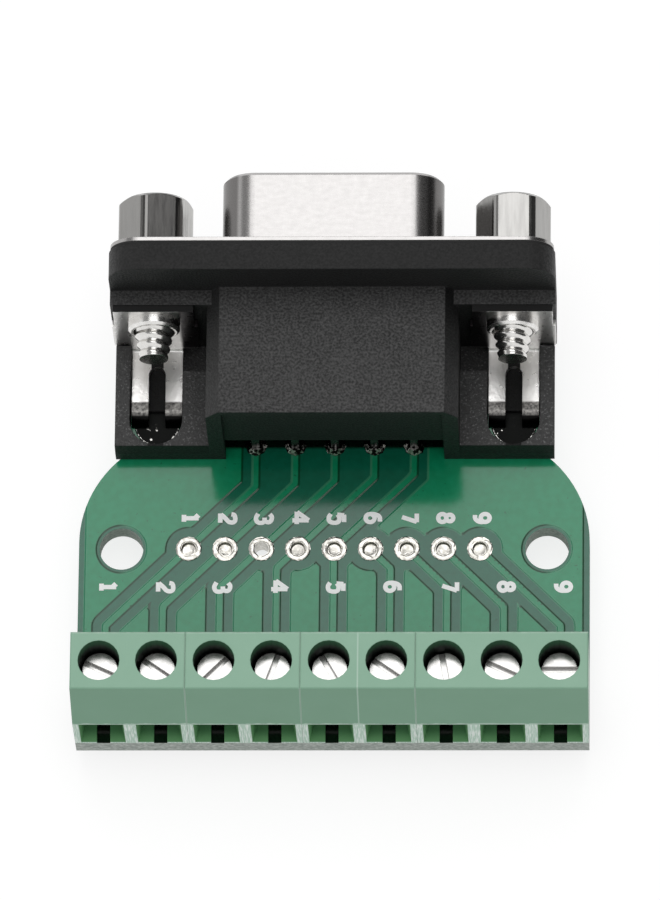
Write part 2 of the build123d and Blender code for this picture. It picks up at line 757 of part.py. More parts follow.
def build_leg_solder():
    """Nine solder joints round the terminal contacts' legs: a cone below the board and a plug in the hole."""
    tip_diameter = leg_width + 2 * solder_tip_collar
    stretches = [
        (-solder_cone_height, 0, tip_diameter, leg_solder_diameter),
        (0, deck, leg_hole_diameter, leg_hole_diameter),
    ]
    with BuildPart() as joints:
        for x in pole_x:
            for low, high, low_diameter, high_diameter in stretches:
                with BuildSketch(Plane.XY.offset(low)):
                    with Locations((x, leg_y)):
                        add(prism_inside(low_diameter, solder_side_count))
                with BuildSketch(Plane.XY.offset(high)):
                    with Locations((x, leg_y)):
                        add(prism_inside(high_diameter, solder_side_count))
                loft()
        with BuildSketch(Plane.XY.offset(deck)):
            with Locations(*[(x, leg_y) for x in pole_x]):
                Rectangle(leg_width, contact_sheet)
        extrude(amount=tail_end - deck, mode=Mode.SUBTRACT)
    save(joints.part, "terminal_solder")


def build_tail_solder():
    """Solder round the nine tails: cones and a plug in the hole, and round the two brackets' board locks."""
    tip_diameter = 2**0.5 * tail_width + 2 * solder_tip_collar
    solder_top = deck + solder_top_height
    lock_prong_width = (lock_leg_width - lock_slit_width) / 2
    stretches = [
        (-solder_cone_height, 0, tip_diameter, tail_solder_diameter),
        (0, deck, tail_hole_diameter, tail_hole_diameter),
        (deck, solder_top, tail_solder_diameter, tip_diameter),
    ]
    with BuildPart() as joints:
        for x, y in tail_places:
            for low, high, low_diameter, high_diameter in stretches:
                with BuildSketch(Plane.XY.offset(low)):
                    with Locations((x, y)):
                        add(prism_inside(low_diameter, solder_side_count))
                with BuildSketch(Plane.XY.offset(high)):
                    with Locations((x, y)):
                        add(prism_inside(high_diameter, solder_side_count))
                loft()
        with BuildSketch(Plane.XY.offset(solder_top)):
            with Locations(*tail_places):
                Rectangle(tail_width, tail_width)
        extrude(amount=tail_end - solder_top, mode=Mode.SUBTRACT)
        for x in jackscrew_x.values():
            with BuildSketch(Plane.XY.offset(-lock_solder_height)):
                with Locations((x, lock_y)):
                    add(prism_inside(lock_solder_tip_diameter, pad_side_count))
            with BuildSketch(Plane.XY):
                with Locations((x, lock_y)):
                    add(prism_inside(lock_solder_diameter, pad_side_count))
            loft()
            with BuildSketch(Plane.XY):
                with Locations((x, lock_y)):
                    add(prism_inside(lock_hole_diameter, pad_side_count))
            extrude(amount=board_thickness)
            with BuildSketch(Plane.XY.offset(deck)):
                with Locations((x, lock_y)):
                    with GridLocations(lock_slit_width + lock_prong_width, 0, 2, 1):
                        Rectangle(lock_prong_width, bracket_sheet)
            extrude(amount=tail_end - deck, mode=Mode.SUBTRACT)
    save(joints.part, "socket_solder")


build_board()
build_pads()
first_pole = 0
for module_pole_count in module_pole_counts:
    last_pole = first_pole + module_pole_count
    module_name = f"terminal_housing_{first_pole + 1}_to_{last_pole}"
    build_terminal_housing(module_name, pole_x[first_pole:last_pole])
    first_pole = last_pole
for pole, (x, slot_angle) in enumerate(zip(pole_x, screw_slot_angles), start=1):
    build_terminal_contact(f"terminal_contact_{pole}", x)
    build_clamp_cage(f"clamp_cage_{pole}", x)
    build_terminal_screw(f"terminal_screw_{pole}", x, slot_angle)
build_shell()
build_insulator()
for place, x in enumerate(upper_x, start=1):
    build_socket_contact(f"socket_contact_{place}", x, contact_row_spacing / 2, rear_row_y)
for place, x in enumerate(lower_x, start=len(upper_x) + 1):
    build_socket_contact(f"socket_contact_{place}", x, -contact_row_spacing / 2, front_row_y)
build_connector_body()
for side, x in jackscrew_x.items():
    build_bracket(f"bracket_{side}", x)
    build_insert(f"threaded_insert_{side}", x)
    build_jackscrew(f"jackscrew_{side}", x, hex_angle[side])
build_leg_solder()
build_tail_solder()
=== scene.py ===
"""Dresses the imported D-sub terminal block adapter: finishes, printed numbers, tracks, threads and solder.

Everything is in metres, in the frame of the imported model: X along the terminals, +Y out of the socket,
+Z up from the board, with the origin midway between the mounting holes on the board's underside.
Sizes that a maker would give in millimetres are written in millimetres and turned to metres by MM.
"""

from __future__ import annotations

import logging
import math
from dataclasses import dataclass, field
from enum import Enum
from typing import Any, Iterable, Sequence

import bmesh
import bpy
from mathutils import Matrix, Vector

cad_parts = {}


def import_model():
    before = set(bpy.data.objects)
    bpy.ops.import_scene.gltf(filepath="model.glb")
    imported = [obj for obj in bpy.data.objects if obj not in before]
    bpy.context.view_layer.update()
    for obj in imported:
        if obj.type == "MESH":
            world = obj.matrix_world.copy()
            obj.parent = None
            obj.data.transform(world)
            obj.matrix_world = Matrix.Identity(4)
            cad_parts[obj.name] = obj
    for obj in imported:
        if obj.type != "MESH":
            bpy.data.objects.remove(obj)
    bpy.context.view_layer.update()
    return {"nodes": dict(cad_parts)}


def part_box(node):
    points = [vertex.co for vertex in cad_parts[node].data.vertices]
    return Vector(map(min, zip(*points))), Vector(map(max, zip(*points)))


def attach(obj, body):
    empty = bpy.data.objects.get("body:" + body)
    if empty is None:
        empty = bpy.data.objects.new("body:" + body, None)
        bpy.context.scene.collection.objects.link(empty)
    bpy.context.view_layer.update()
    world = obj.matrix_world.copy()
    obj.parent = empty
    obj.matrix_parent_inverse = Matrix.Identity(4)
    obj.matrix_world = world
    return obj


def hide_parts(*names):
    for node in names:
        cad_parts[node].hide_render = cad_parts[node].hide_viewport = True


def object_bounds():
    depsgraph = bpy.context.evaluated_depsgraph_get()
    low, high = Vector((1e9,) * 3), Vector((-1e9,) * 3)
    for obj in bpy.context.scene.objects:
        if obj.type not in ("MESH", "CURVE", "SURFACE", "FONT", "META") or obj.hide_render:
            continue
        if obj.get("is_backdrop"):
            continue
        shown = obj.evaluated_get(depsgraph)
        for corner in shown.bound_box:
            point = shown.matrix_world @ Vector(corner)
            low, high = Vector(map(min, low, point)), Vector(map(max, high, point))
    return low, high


LOG = logging.getLogger("adapter")

MM = 0.001
FAR = 99.0
ROOT_BODY = "adapter"
POLE_COUNT = 9
TOP_TAILS = 5
POLE_PITCH = 3.96
PAD_PITCH = 2.54
TAIL_PITCH = 2.77
FLAT_REFLECTION = "painted_flat_reflection"

Point2 = tuple[float, float]
Point3 = tuple[float, float, float]
Colour = tuple[float, float, float, float]
Socket = bpy.types.NodeSocket
NodeTree = bpy.types.NodeTree
Material = bpy.types.Material
EditMesh = bmesh.types.BMesh
Vert = bmesh.types.BMVert


def linear(hex_colour: str) -> Colour:
    """Turns an sRGB hex colour into the linear colour that a shader takes.

    Args:
        hex_colour: Six hex digits after a hash sign.

    Returns:
        Linear red, green and blue, and an alpha of one.
    """
    channels = []
    for start in (1, 3, 5):
        value = int(hex_colour[start:start + 2], 16) / 255
        channels.append(value / 12.92 if value <= 0.04045 else ((value + 0.055) / 1.055) ** 2.4)
    return (channels[0], channels[1], channels[2], 1.0)


def add_node(tree: NodeTree, kind: str, settings: dict[str, Any] | None = None,
             **inputs: Any) -> bpy.types.Node:
    """Adds a node, sets its properties, and sets or links its inputs.

    Args:
        tree: The node tree that the node joins.
        kind: Blender's name of the node's type.
        settings: Property names and their values.
        **inputs: Socket names with underscores for spaces, or i0, i1 and so on for a socket's place.
            An output socket is linked, and anything else becomes the socket's own value.

    Returns:
        The new node.
    """
    node = tree.nodes.new(kind)
    for name, value in (settings or {}).items():
        setattr(node, name, value)
    for name, value in inputs.items():
        by_place = name[0] == "i" and name[1:].isdigit()
        socket = node.inputs[int(name[1:])] if by_place else node.inputs[name.replace("_", " ")]
        if isinstance(value, Socket):
            tree.links.new(value, socket)
        else:
            socket.default_value = value
    return node


def emptied_tree(owner: Material | bpy.types.World) -> NodeTree:
    """Gives a material or a world a node tree with nothing in it, and returns the tree."""
    owner.use_nodes = True
    owner.node_tree.nodes.clear()
    return owner.node_tree


def pole_x(pole: float, pitch: float) -> float:
    """Where a pole stands in a centred row of POLE_COUNT poles, in millimetres."""
    return (pole - (POLE_COUNT - 1) / 2) * pitch


def box_mm(node: str) -> tuple[Vector, Vector]:
    """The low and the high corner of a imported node's box, in millimetres."""
    low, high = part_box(node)
    return Vector(low) / MM, Vector(high) / MM


class Shader:
    """A material under construction: one Principled shader and the nodes that feed it."""

    def __init__(self, name: str) -> None:
        """Starts an empty material that bears the finish's plain name."""
        self.material = bpy.data.materials.new(name)
        self.tree = emptied_tree(self.material)
        self.surface = add_node(self.tree, "ShaderNodeBsdfPrincipled")
        add_node(self.tree, "ShaderNodeOutputMaterial", Surface=self.surface.outputs["BSDF"])
        self.place = add_node(self.tree, "ShaderNodeTexCoord").outputs["Object"]

    def set(self, **inputs: Any) -> None:
        """Sets or links sockets of the Principled shader.

        Args:
            **inputs: Socket names with underscores for spaces.
        """
        for name, value in inputs.items():
            socket = self.surface.inputs[name.replace("_", " ")]
            if isinstance(value, Socket):
                self.tree.links.new(value, socket)
            else:
                socket.default_value = value

    def noise(self, size_mm: float, detail: float = 3.0, stretch: Sequence[float] = (1, 1, 1),
              contrast: float = 1.0) -> Socket:
        """Cloudy noise whose grains are about size_mm across.

        Args:
            size_mm: The grain's size in millimetres.
            detail: How many finer octaves are added.
            stretch: How much longer a grain is along each axis.
            contrast: One leaves the noise as it is, and more spreads it about its middle.

        Returns:
            A value from about zero to one.
        """
        scale = [1 / (size_mm * MM * length) for length in stretch]
        grains = add_node(self.tree, "ShaderNodeMapping", Vector=self.place, Scale=scale).outputs[0]
        cloud = add_node(self.tree, "ShaderNodeTexNoise", Vector=grains, Scale=1.0,
                         Detail=detail).outputs["Fac"]
        if contrast == 1.0:
            return cloud
        reach = 0.5 / contrast
        return add_node(self.tree, "ShaderNodeMapRange", Value=cloud, From_Min=0.5 - reach,
                        From_Max=0.5 + reach).outputs["Result"]

    def ramp(self, value: Socket, low: float, high: float, to_low: float = 0.0,
             to_high: float = 1.0) -> Socket:
        """Maps a value from one range to another, clamped, with a smooth step.

        Args:
            value: The value to map.
            low: The value that gives to_low.
            high: The value that gives to_high.
            to_low: Result at low.
            to_high: Result at high.

        Returns:
            The mapped value.
        """
        return add_node(self.tree, "ShaderNodeMapRange", {"interpolation_type": "SMOOTHSTEP"}, Value=value,
                        From_Min=low, From_Max=high, To_Min=to_low, To_Max=to_high).outputs["Result"]

    def reckon(self, operation: str, *values: Any) -> Socket:
        """Runs an operation on one value, or on two and then on each result and the next value.

        Args:
            operation: Blender's name of the operation.
            *values: Numbers or sockets.

        Returns:
            The last result.
        """
        result = values[0]
        for value in values[1:] or (0.0,):
            result = add_node(self.tree, "ShaderNodeMath", {"operation": operation}, i0=result,
                              i1=value).outputs[0]
        return result

    def all_of(self, *shares: Any) -> Socket:
        """The product of shares: one only where each of them is one."""
        return self.reckon("MULTIPLY", *shares)

    def any_of(self, *shares: Any) -> Socket:
        """The greatest of shares: one where any of them is one."""
        return self.reckon("MAXIMUM", *shares)

    def without(self, share: Socket) -> Socket:
        """One where the share is zero, and zero where it is one."""
        return self.reckon("SUBTRACT", 1.0, share)

    def blend(self, share: Any, first: Any, second: Any) -> Socket:
        """Goes from one colour to another, or from one number to another.

        Args:
            share: How much of the second shows, from zero to one.
            first: A hex colour, a number or a socket.
            second: The same.

        Returns:
            The blended colour or number.
        """
        ends = [linear(end) if isinstance(end, str) else end for end in (first, second)]
        if all(isinstance(end, float) or getattr(end, "type", "") == "VALUE" for end in ends):
            return add_node(self.tree, "ShaderNodeMix", {"data_type": "FLOAT"}, i0=share, i2=ends[0],
                            i3=ends[1]).outputs[0]
        return add_node(self.tree, "ShaderNodeMix", {"data_type": "RGBA"}, i0=share, i6=ends[0],
                        i7=ends[1]).outputs[2]

    def relief(self, height: Socket, depth_mm: float, strength: float,
               normal: Socket | None = None) -> Socket:
        """Turns a height into a shading normal.

        Args:
            height: A value from zero to one.
            depth_mm: What a height of one stands for, in millimetres.
            strength: The share of the effect.
            normal: The normal that the relief starts from.

        Returns:
            The new normal.
        """
        start = {"Normal": normal} if normal is not None else {}
        return add_node(self.tree, "ShaderNodeBump", Height=height, Distance=depth_mm * MM, Strength=strength,
                        **start).outputs["Normal"]

    def soft_edges(self, radius_mm: float) -> Socket:
        """The normal of edges that are broken to a small radius in millimetres."""
        return add_node(self.tree, "ShaderNodeBevel", {"samples": 4}, Radius=radius_mm * MM).outputs["Normal"]

    def axis(self, name: str, of: Socket | None = None) -> Socket:
        """The X, Y or Z of a vector, or of the place on the object where none is given."""
        return add_node(self.tree, "ShaderNodeSeparateXYZ", Vector=of or self.place).outputs[name]

    def facing(self, name: str) -> Socket:
        """The X, Y or Z of the surface's true normal, from minus one to one."""
        return self.axis(name, add_node(self.tree, "ShaderNodeNewGeometry").outputs["True Normal"])

    def beside(self, plane_x: float) -> Socket:
        """How far a place lies outside the two planes at plane_x millimetres left and right of the middle."""
        return self.reckon("SUBTRACT", self.reckon("ABSOLUTE", self.axis("X")), plane_x * MM)

    def within(self, value: Socket, low_mm: float, high_mm: float, soft_mm: float = 0.02) -> Socket:
        """One where a coordinate lies between two places, and zero elsewhere.

        Args:
            value: The coordinate, in metres.
            low_mm: The lower place in millimetres.
            high_mm: The higher place in millimetres.
            soft_mm: Half of how wide the change is at each end, in millimetres.

        Returns:
            The share.
        """
        after = self.ramp(value, (low_mm - soft_mm) * MM, (low_mm + soft_mm) * MM)
        before = self.ramp(value, (high_mm + soft_mm) * MM, (high_mm - soft_mm) * MM)
        return self.all_of(after, before)

    def carried(self, name: str) -> Socket:
        """A value that the mesh carries as an attribute."""
        return add_node(self.tree, "ShaderNodeAttribute", {"attribute_name": name}).outputs["Fac"]


class BoardLayer(Enum):
    """The values that the board's mesh carries for its copper pattern, in millimetres."""

    TRACK = "track_gap"
    POUR = "pour_depth"
    FACING = "edge_facing"


@dataclass(frozen=True)
class SolderMask:
    """Liquid solder mask on a glass-fibre laminate: a glossy green film, paler where copper lies under it."""

    hood_y: float
    hood_half_width: float
    block_y: float
    copper: str = "#0c8459"
    copper_pale: str = "#118b60"
    laminate: str = "#0f684f"
    laminate_dark: str = "#0b5c44"
    speck: str = "#0c4a30"
    shade: str = "#04130b"
    edge_line: str = "#02361b"
    lit_line: str = "#3f8a68"
    fibre: str = "#ccd2cc"
    fibre_dark: str = "#88938c"
    line_width: float = 0.115
    hood_fade_x: float = 0.2
    hood_fade_y: float = 0.14
    block_fade: float = 0.1

    def material(self) -> Material:
        """Builds the finish.

        Returns:
            The material.
        """
        s = Shader("green_solder_mask")
        track, pour, facing = (s.carried(layer.value) for layer in BoardLayer)
        # Copper lies under the mask on a track and in the poured area, and bare laminate lies between.
        half_line = self.line_width / 2
        on_copper = s.any_of(s.ramp(track, half_line, -half_line), s.ramp(pour, -half_line, half_line))
        mottle = s.noise(0.5, detail=4, contrast=1.6)
        copper = s.blend(s.ramp(mottle, 0.2, 0.8), self.copper, self.copper_pale)
        bare = s.blend(mottle, self.laminate_dark, self.laminate)
        green = s.blend(on_copper, bare, copper)
        # The film is thin on a copper edge, so that edge shows as a fine line, painted light on its side
        # towards the light and painted shade on its other side.
        edge = s.reckon("MINIMUM", s.reckon("ABSOLUTE", track), s.reckon("ABSOLUTE", pour))
        line = s.ramp(edge, self.line_width, 0.35 * self.line_width)
        line_colour = s.blend(s.ramp(facing, -0.2, 0.3), self.edge_line, self.lit_line)
        green = s.blend(s.all_of(line, 0.8), green, line_colour)
        specks = s.ramp(s.noise(0.28, detail=1), 0.27, 0.23)
        green = s.blend(s.all_of(specks, 0.55), green, self.speck)
        # Painted shade: the mask is painted dark under the hood and under the terminals, where shade falls.
        under_hood = s.all_of(
            s.within(s.axis("X"), -self.hood_half_width, self.hood_half_width, self.hood_fade_x),
            s.within(s.axis("Y"), self.hood_y, FAR, self.hood_fade_y))
        under_block = s.within(s.axis("Y"), -FAR, self.block_y, self.block_fade)
        green = s.blend(s.any_of(under_hood, under_block), green, self.shade)
        # The cut edge and the holes' walls show the laminate's fibres.
        upright = s.ramp(s.reckon("ABSOLUTE", s.facing("Z")), 0.7, 0.5)
        fibres = s.noise(0.12, detail=4, stretch=(2, 2, 1), contrast=2.4)
        cut = s.blend(fibres, self.fibre_dark, self.fibre)
        s.set(Base_Color=s.blend(upright, green, cut), Roughness=s.blend(upright, 0.13, 0.75), IOR=1.5)
        ripple = s.relief(s.noise(0.7, detail=2), 0.006, 0.5)
        copper_step = s.relief(on_copper, 0.03, 0.7, ripple)
        s.set(Normal=s.relief(s.all_of(fibres, upright), 0.03, 0.8, copper_step))
        return s.material


@dataclass(frozen=True)
class TinnedCopper:
    """Hot-dipped tin on copper: bright, slightly rippled metal with dull patches."""

    colour: str = "#dcdad4"
    dull: str = "#b9b6ae"
    roughness: float = 0.22

    def material(self) -> Material:
        """Builds the finish.

        Returns:
            The material.
        """
        s = Shader("tinned_copper")
        patch = s.noise(0.25, detail=3, contrast=1.8)
        s.set(Base_Color=s.blend(patch, self.dull, self.colour), Metallic=1.0)
        s.set(Roughness=s.ramp(patch, 0.0, 1.0, self.roughness + 0.18, self.roughness))
        s.set(Normal=s.relief(s.noise(0.35, detail=3), 0.05, 0.5))
        return s.material


@dataclass(frozen=True)
class HousingPlastic:
    """Moulded polyamide, mid green: semi-matt, with painted light on its tops and front, where it is also
    rubbed paler, and painted shade in its cells and bores.
    """

    front_y: float
    rear_y: float
    deck_z: float
    half_width: float
    seams: tuple[float, ...]
    entry_height: float = 3.9
    facet_run: float = 1.2
    top_height: float = 8.1
    skin: float = 0.05
    seam_half_width: float = 0.05
    foot_width: float = 0.2
    foot_ragged: float = 0.16
    rear_flash_and_highlight_depth: float = 0.12
    rear_flash_and_highlight_height: float = 0.15
    cell_fade: float = 0.9
    bore_rim: float = 0.3
    bore_fade: float = 1.6
    colour: str = "#719f82"
    flow: str = "#76a488"
    upper: str = "#82af94"
    upper_flow: str = "#89b49a"
    inside: str = "#62a066"
    inside_deep: str = "#33733f"
    bore: str = "#2c6a45"
    bore_deep: str = "#020e07"
    rubbed_and_lit: str = "#a9ceb8"
    scratch: str = "#e6f2ea"
    flash_and_highlight: str = "#b9d3c3"
    edge_radius: float = 0.07

    def material(self) -> Material:
        """Builds the finish.

        Returns:
            The material.
        """
        s = Shader("green_polyamide")
        x, y, z = (s.axis(name) for name in "XYZ")
        flow = s.noise(2.2, detail=4, contrast=1.5)
        # Painted light: the upward faces are painted paler than the walls.
        level = s.ramp(s.facing("Z"), 0.6, 0.4)
        tint = s.blend(level, s.blend(flow, self.upper, self.upper_flow),
                       s.blend(flow, self.colour, self.flow))
        # A pale thread at the seams, on the rear edge and along the facet's foot is part moulding flash and
        # part painted highlight on those edges.
        ragged = s.noise(0.5, detail=3, contrast=2.0)
        entry_z, top_z = self.deck_z + self.entry_height, self.deck_z + self.top_height
        facet_y = self.front_y + self.facet_run
        foot = s.within(s.reckon("ADD", z, s.all_of(ragged, self.foot_ragged * MM)), entry_z,
                        entry_z + self.foot_width, 0.05)
        thread = s.all_of(foot, s.within(y, -FAR, facet_y + 0.02))
        for seam in self.seams:
            at_seam = s.within(x, seam - self.seam_half_width, seam + self.seam_half_width)
            thread = s.any_of(thread, s.all_of(at_seam, 0.8))
        rear_edge = s.all_of(s.within(y, self.rear_y - self.rear_flash_and_highlight_depth, FAR, 0.06),
                             s.within(z, top_z - self.rear_flash_and_highlight_height, FAR, 0.06), ragged)
        tint = s.blend(s.all_of(s.any_of(thread, rear_edge), 0.8), tint, self.flash_and_highlight)
        # Strokes of the mould's polishing run up the front, where the plastic is rubbed paler and also
        # painted lighter as painted light from the front.
        front = s.ramp(s.facing("Y"), -0.97, -0.99)
        strokes = s.ramp(s.noise(0.10, detail=3, stretch=(1, 1, 14), contrast=2.2), 0.3, 0.85)
        tint = s.blend(front, tint, s.blend(strokes, self.rubbed_and_lit, self.scratch))
        # Painted shade: the walls of the cells and bores are painted deeper in colour, darkest where they lie
        # deepest.
        in_cells = s.all_of(s.within(z, -FAR, entry_z - 0.02),
                            s.within(y, self.front_y + 0.02, self.rear_y - self.skin))
        in_bores = s.all_of(s.within(z, entry_z, top_z - 0.02, 0.005), level,
                            s.within(y, facet_y + 0.1, self.rear_y - self.skin))
        inner = s.all_of(s.any_of(in_cells, in_bores),
                         s.within(x, self.skin - self.half_width, self.half_width - self.skin))
        deep_cell = s.ramp(y, (self.front_y + self.skin) * MM, (self.front_y + self.cell_fade) * MM)
        deep_bore = s.ramp(z, (top_z - self.bore_rim) * MM, (top_z - self.bore_fade) * MM)
        cell_tint = s.blend(deep_cell, self.inside, self.inside_deep)
        bore_tint = s.blend(deep_bore, self.bore, self.bore_deep)
        tint = s.blend(inner, tint, s.blend(in_bores, cell_tint, bore_tint))
        s.set(Base_Color=tint, Roughness=s.blend(inner, 0.36, 0.6), IOR=1.55)
        fine = s.relief(s.noise(0.12, detail=2), 0.004, 0.6, s.soft_edges(self.edge_radius))
        s.set(Normal=s.relief(s.noise(1.3, detail=2), 0.02, 0.35, fine))
        return s.material


class Plating(Enum):
    """The bright metals of the adapter, each as colour, darker patch colour and roughness."""

    ZINC_SCREW = ("#bfbebc", "#bab9b7", 0.14)
    NICKEL_TURNED = ("#979694", "#8d8c8a", 0.14)
    NICKEL_COLLAR = ("#efeeec", "#d6d4d1", 0.20)
    TIN_TAIL = ("#bab9b5", "#a09e99", 0.24)
    GOLD_FLASH = ("#e3c27a", "#cda85c", 0.20)


@dataclass(frozen=True)
class BrightMetal:
    """Plated metal: mirror-like with fine handling marks and slight dulling in patches."""

    name: str
    plating: Plating
    grain_mm: float = 0.5
    stretch: Point3 = (1, 1, 1)
    relief_mm: float = 0.004
    edge_radius: float = 0.05
    reflection_painted: bool = False
    tail_y: float | None = None
    shaded_bent_tail: str = "#4c4b4a"
    soldered_tail: str = "#b7b5b1"

    def material(self) -> Material:
        """Builds the finish.

        Returns:
            The material.
        """
        colour, patch_colour, roughness = self.plating.value
        s = Shader(self.name)
        patch = s.noise(self.grain_mm, detail=4, stretch=self.stretch, contrast=1.6)
        tone = s.blend(patch, patch_colour, colour)
        if self.reflection_painted:
            # Painted reflection: each flat of a hexagon mirrors another part of the room, so the mesh carries
            # how bright its colour is painted.
            tone = add_node(s.tree, "ShaderNodeVectorMath", {"operation": "SCALE"}, i0=tone,
                            Scale=s.carried(FLAT_REFLECTION)).outputs[0]
        if self.tail_y is not None:
            # The bent tails above the board are tin, painted dark as shade under the hood, and bright below
            # it where they are soldered in.
            bent = s.all_of(s.within(s.axis("Y"), -FAR, self.tail_y), s.within(s.axis("Z"), 0.0, FAR))
            tone = s.blend(bent, tone, self.shaded_bent_tail)
            tone = s.blend(s.within(s.axis("Z"), -FAR, 0.0), tone, self.soldered_tail)
        s.set(Base_Color=tone, Metallic=1.0)
        s.set(Roughness=s.ramp(patch, 0.1, 0.9, roughness + 0.10, roughness))
        wear = s.noise(self.grain_mm * 0.5, detail=3, stretch=self.stretch)
        s.set(Normal=s.relief(wear, self.relief_mm, 0.6, s.soft_edges(self.edge_radius)))
        return s.material


@dataclass(frozen=True)
class DrawnSteel:
    """Tin-plated drawn steel: satin, with a fine cloudy grain left by the barrel plating."""

    rim_y: float
    colour: str = "#afadac"
    cloud: str = "#a6a4a3"
    side: str = "#747271"
    gripped: str = "#1b1b1b"
    side_x: float = 6.45
    side_fade: float = 0.3
    flange_depth: float = 0.4
    roughness: float = 0.24
    edge_radius: float = 0.06

    def material(self) -> Material:
        """Builds the finish.

        Returns:
            The material.
        """
        s = Shader("tinned_drawn_steel")
        cloud = s.noise(0.30, detail=5, stretch=(2, 1, 1), contrast=1.4)
        streak = s.noise(0.16, detail=2, stretch=(1, 6, 1), contrast=1.5)
        tone = s.blend(s.all_of(cloud, s.ramp(streak, 0.0, 1.0, 0.5, 1.0)), self.cloud, self.colour)
        # The shell's rounded sides turn from the light.
        rounded = s.all_of(s.ramp(s.beside(self.side_x), 0.0, self.side_fade * MM),
                           s.within(s.axis("Y"), self.rim_y + self.flange_depth, FAR))
        tone = s.blend(rounded, tone, self.side)
        # The moulding behind the flange grips the back half of its cut edge.
        gripped = s.within(s.axis("Y"), -FAR, self.rim_y)
        s.set(Base_Color=s.blend(gripped, tone, self.gripped), Metallic=s.blend(gripped, 1.0, 0.0))
        s.set(Roughness=s.blend(gripped, s.ramp(cloud, 0.0, 1.0, self.roughness + 0.05, self.roughness), 0.8))
        s.set(Normal=s.relief(streak, 0.002, 0.5, s.soft_edges(self.edge_radius)))
        return s.material


@dataclass(frozen=True)
class BracketStrip:
    """Hot-tinned spring strip: bright and satin where flat, gritty where bent, with painted shade where it
    turns down into its hole, beside the hood, in its slit and on its top edge.
    """

    bend_y: float
    lock_y: float
    low_z: float
    top_z: float
    centre_x: float
    bend_height: float = 1.6
    bend_fade: float = 0.08
    sunk_depth: float = 0.35
    wing_fade_x: float = 0.15
    wing_fade_z: float = 0.2
    top_edge: float = 0.06
    slit_half_width: float = 0.43
    slit_end_y: float = 14.0
    wing_start: float = 1.75
    colour: str = "#efeeec"
    cloud: str = "#e2e0de"
    bent_dark: str = "#3b3a3a"
    bent_pale: str = "#84827f"
    sunk: str = "#161616"
    wing: str = "#353133"
    slit: str = "#0c0c0c"
    edge_radius: float = 0.06

    def material(self) -> Material:
        """Builds the finish.

        Returns:
            The material.
        """
        s = Shader("tinned_spring_strip")
        y, z = s.axis("Y"), s.axis("Z")
        cloud = s.noise(0.5, detail=4, contrast=1.8)
        grit = s.noise(0.18, detail=3, contrast=2.4)
        # Painted shade: where the strip bends down it is painted dark, and where it sinks into its hole near
        # black.
        bend_z = self.low_z + self.bend_height
        bent = s.all_of(s.within(y, -FAR, self.bend_y, self.bend_fade), s.within(z, -FAR, bend_z))
        tone = s.blend(bent, s.blend(cloud, self.cloud, self.colour),
                       s.blend(grit, self.bent_dark, self.bent_pale))
        sunk = s.all_of(s.within(y, -FAR, self.lock_y + self.sunk_depth, 0.06), bent)
        tone = s.blend(sunk, tone, self.sunk)
        # Painted shade: the inner wing beside the hood is painted dark, and the slit that splits the strip
        # and the strip's top edge are painted near black.
        aside = s.beside(self.centre_x)
        inner_wing = s.all_of(s.within(aside, -FAR, -self.wing_start, self.wing_fade_x),
                              s.within(z, bend_z, FAR, self.wing_fade_z))
        tone = s.blend(inner_wing, tone, self.wing)
        level = s.ramp(s.facing("Z"), 0.5, 0.7)
        slit = s.all_of(s.within(aside, -self.slit_half_width, self.slit_half_width),
                        s.within(y, -FAR, self.slit_end_y), level)
        black = s.any_of(slit, s.all_of(s.within(z, self.top_z - self.top_edge, FAR), level))
        s.set(Base_Color=s.blend(black, tone, self.slit), Metallic=s.blend(black, 1.0, 0.0))
        s.set(Roughness=s.blend(black, s.ramp(cloud, 0.0, 1.0, 0.34, 0.26), 0.8))
        s.set(Normal=s.relief(grit, 0.008, 0.5, s.soft_edges(self.edge_radius)))
        return s.material


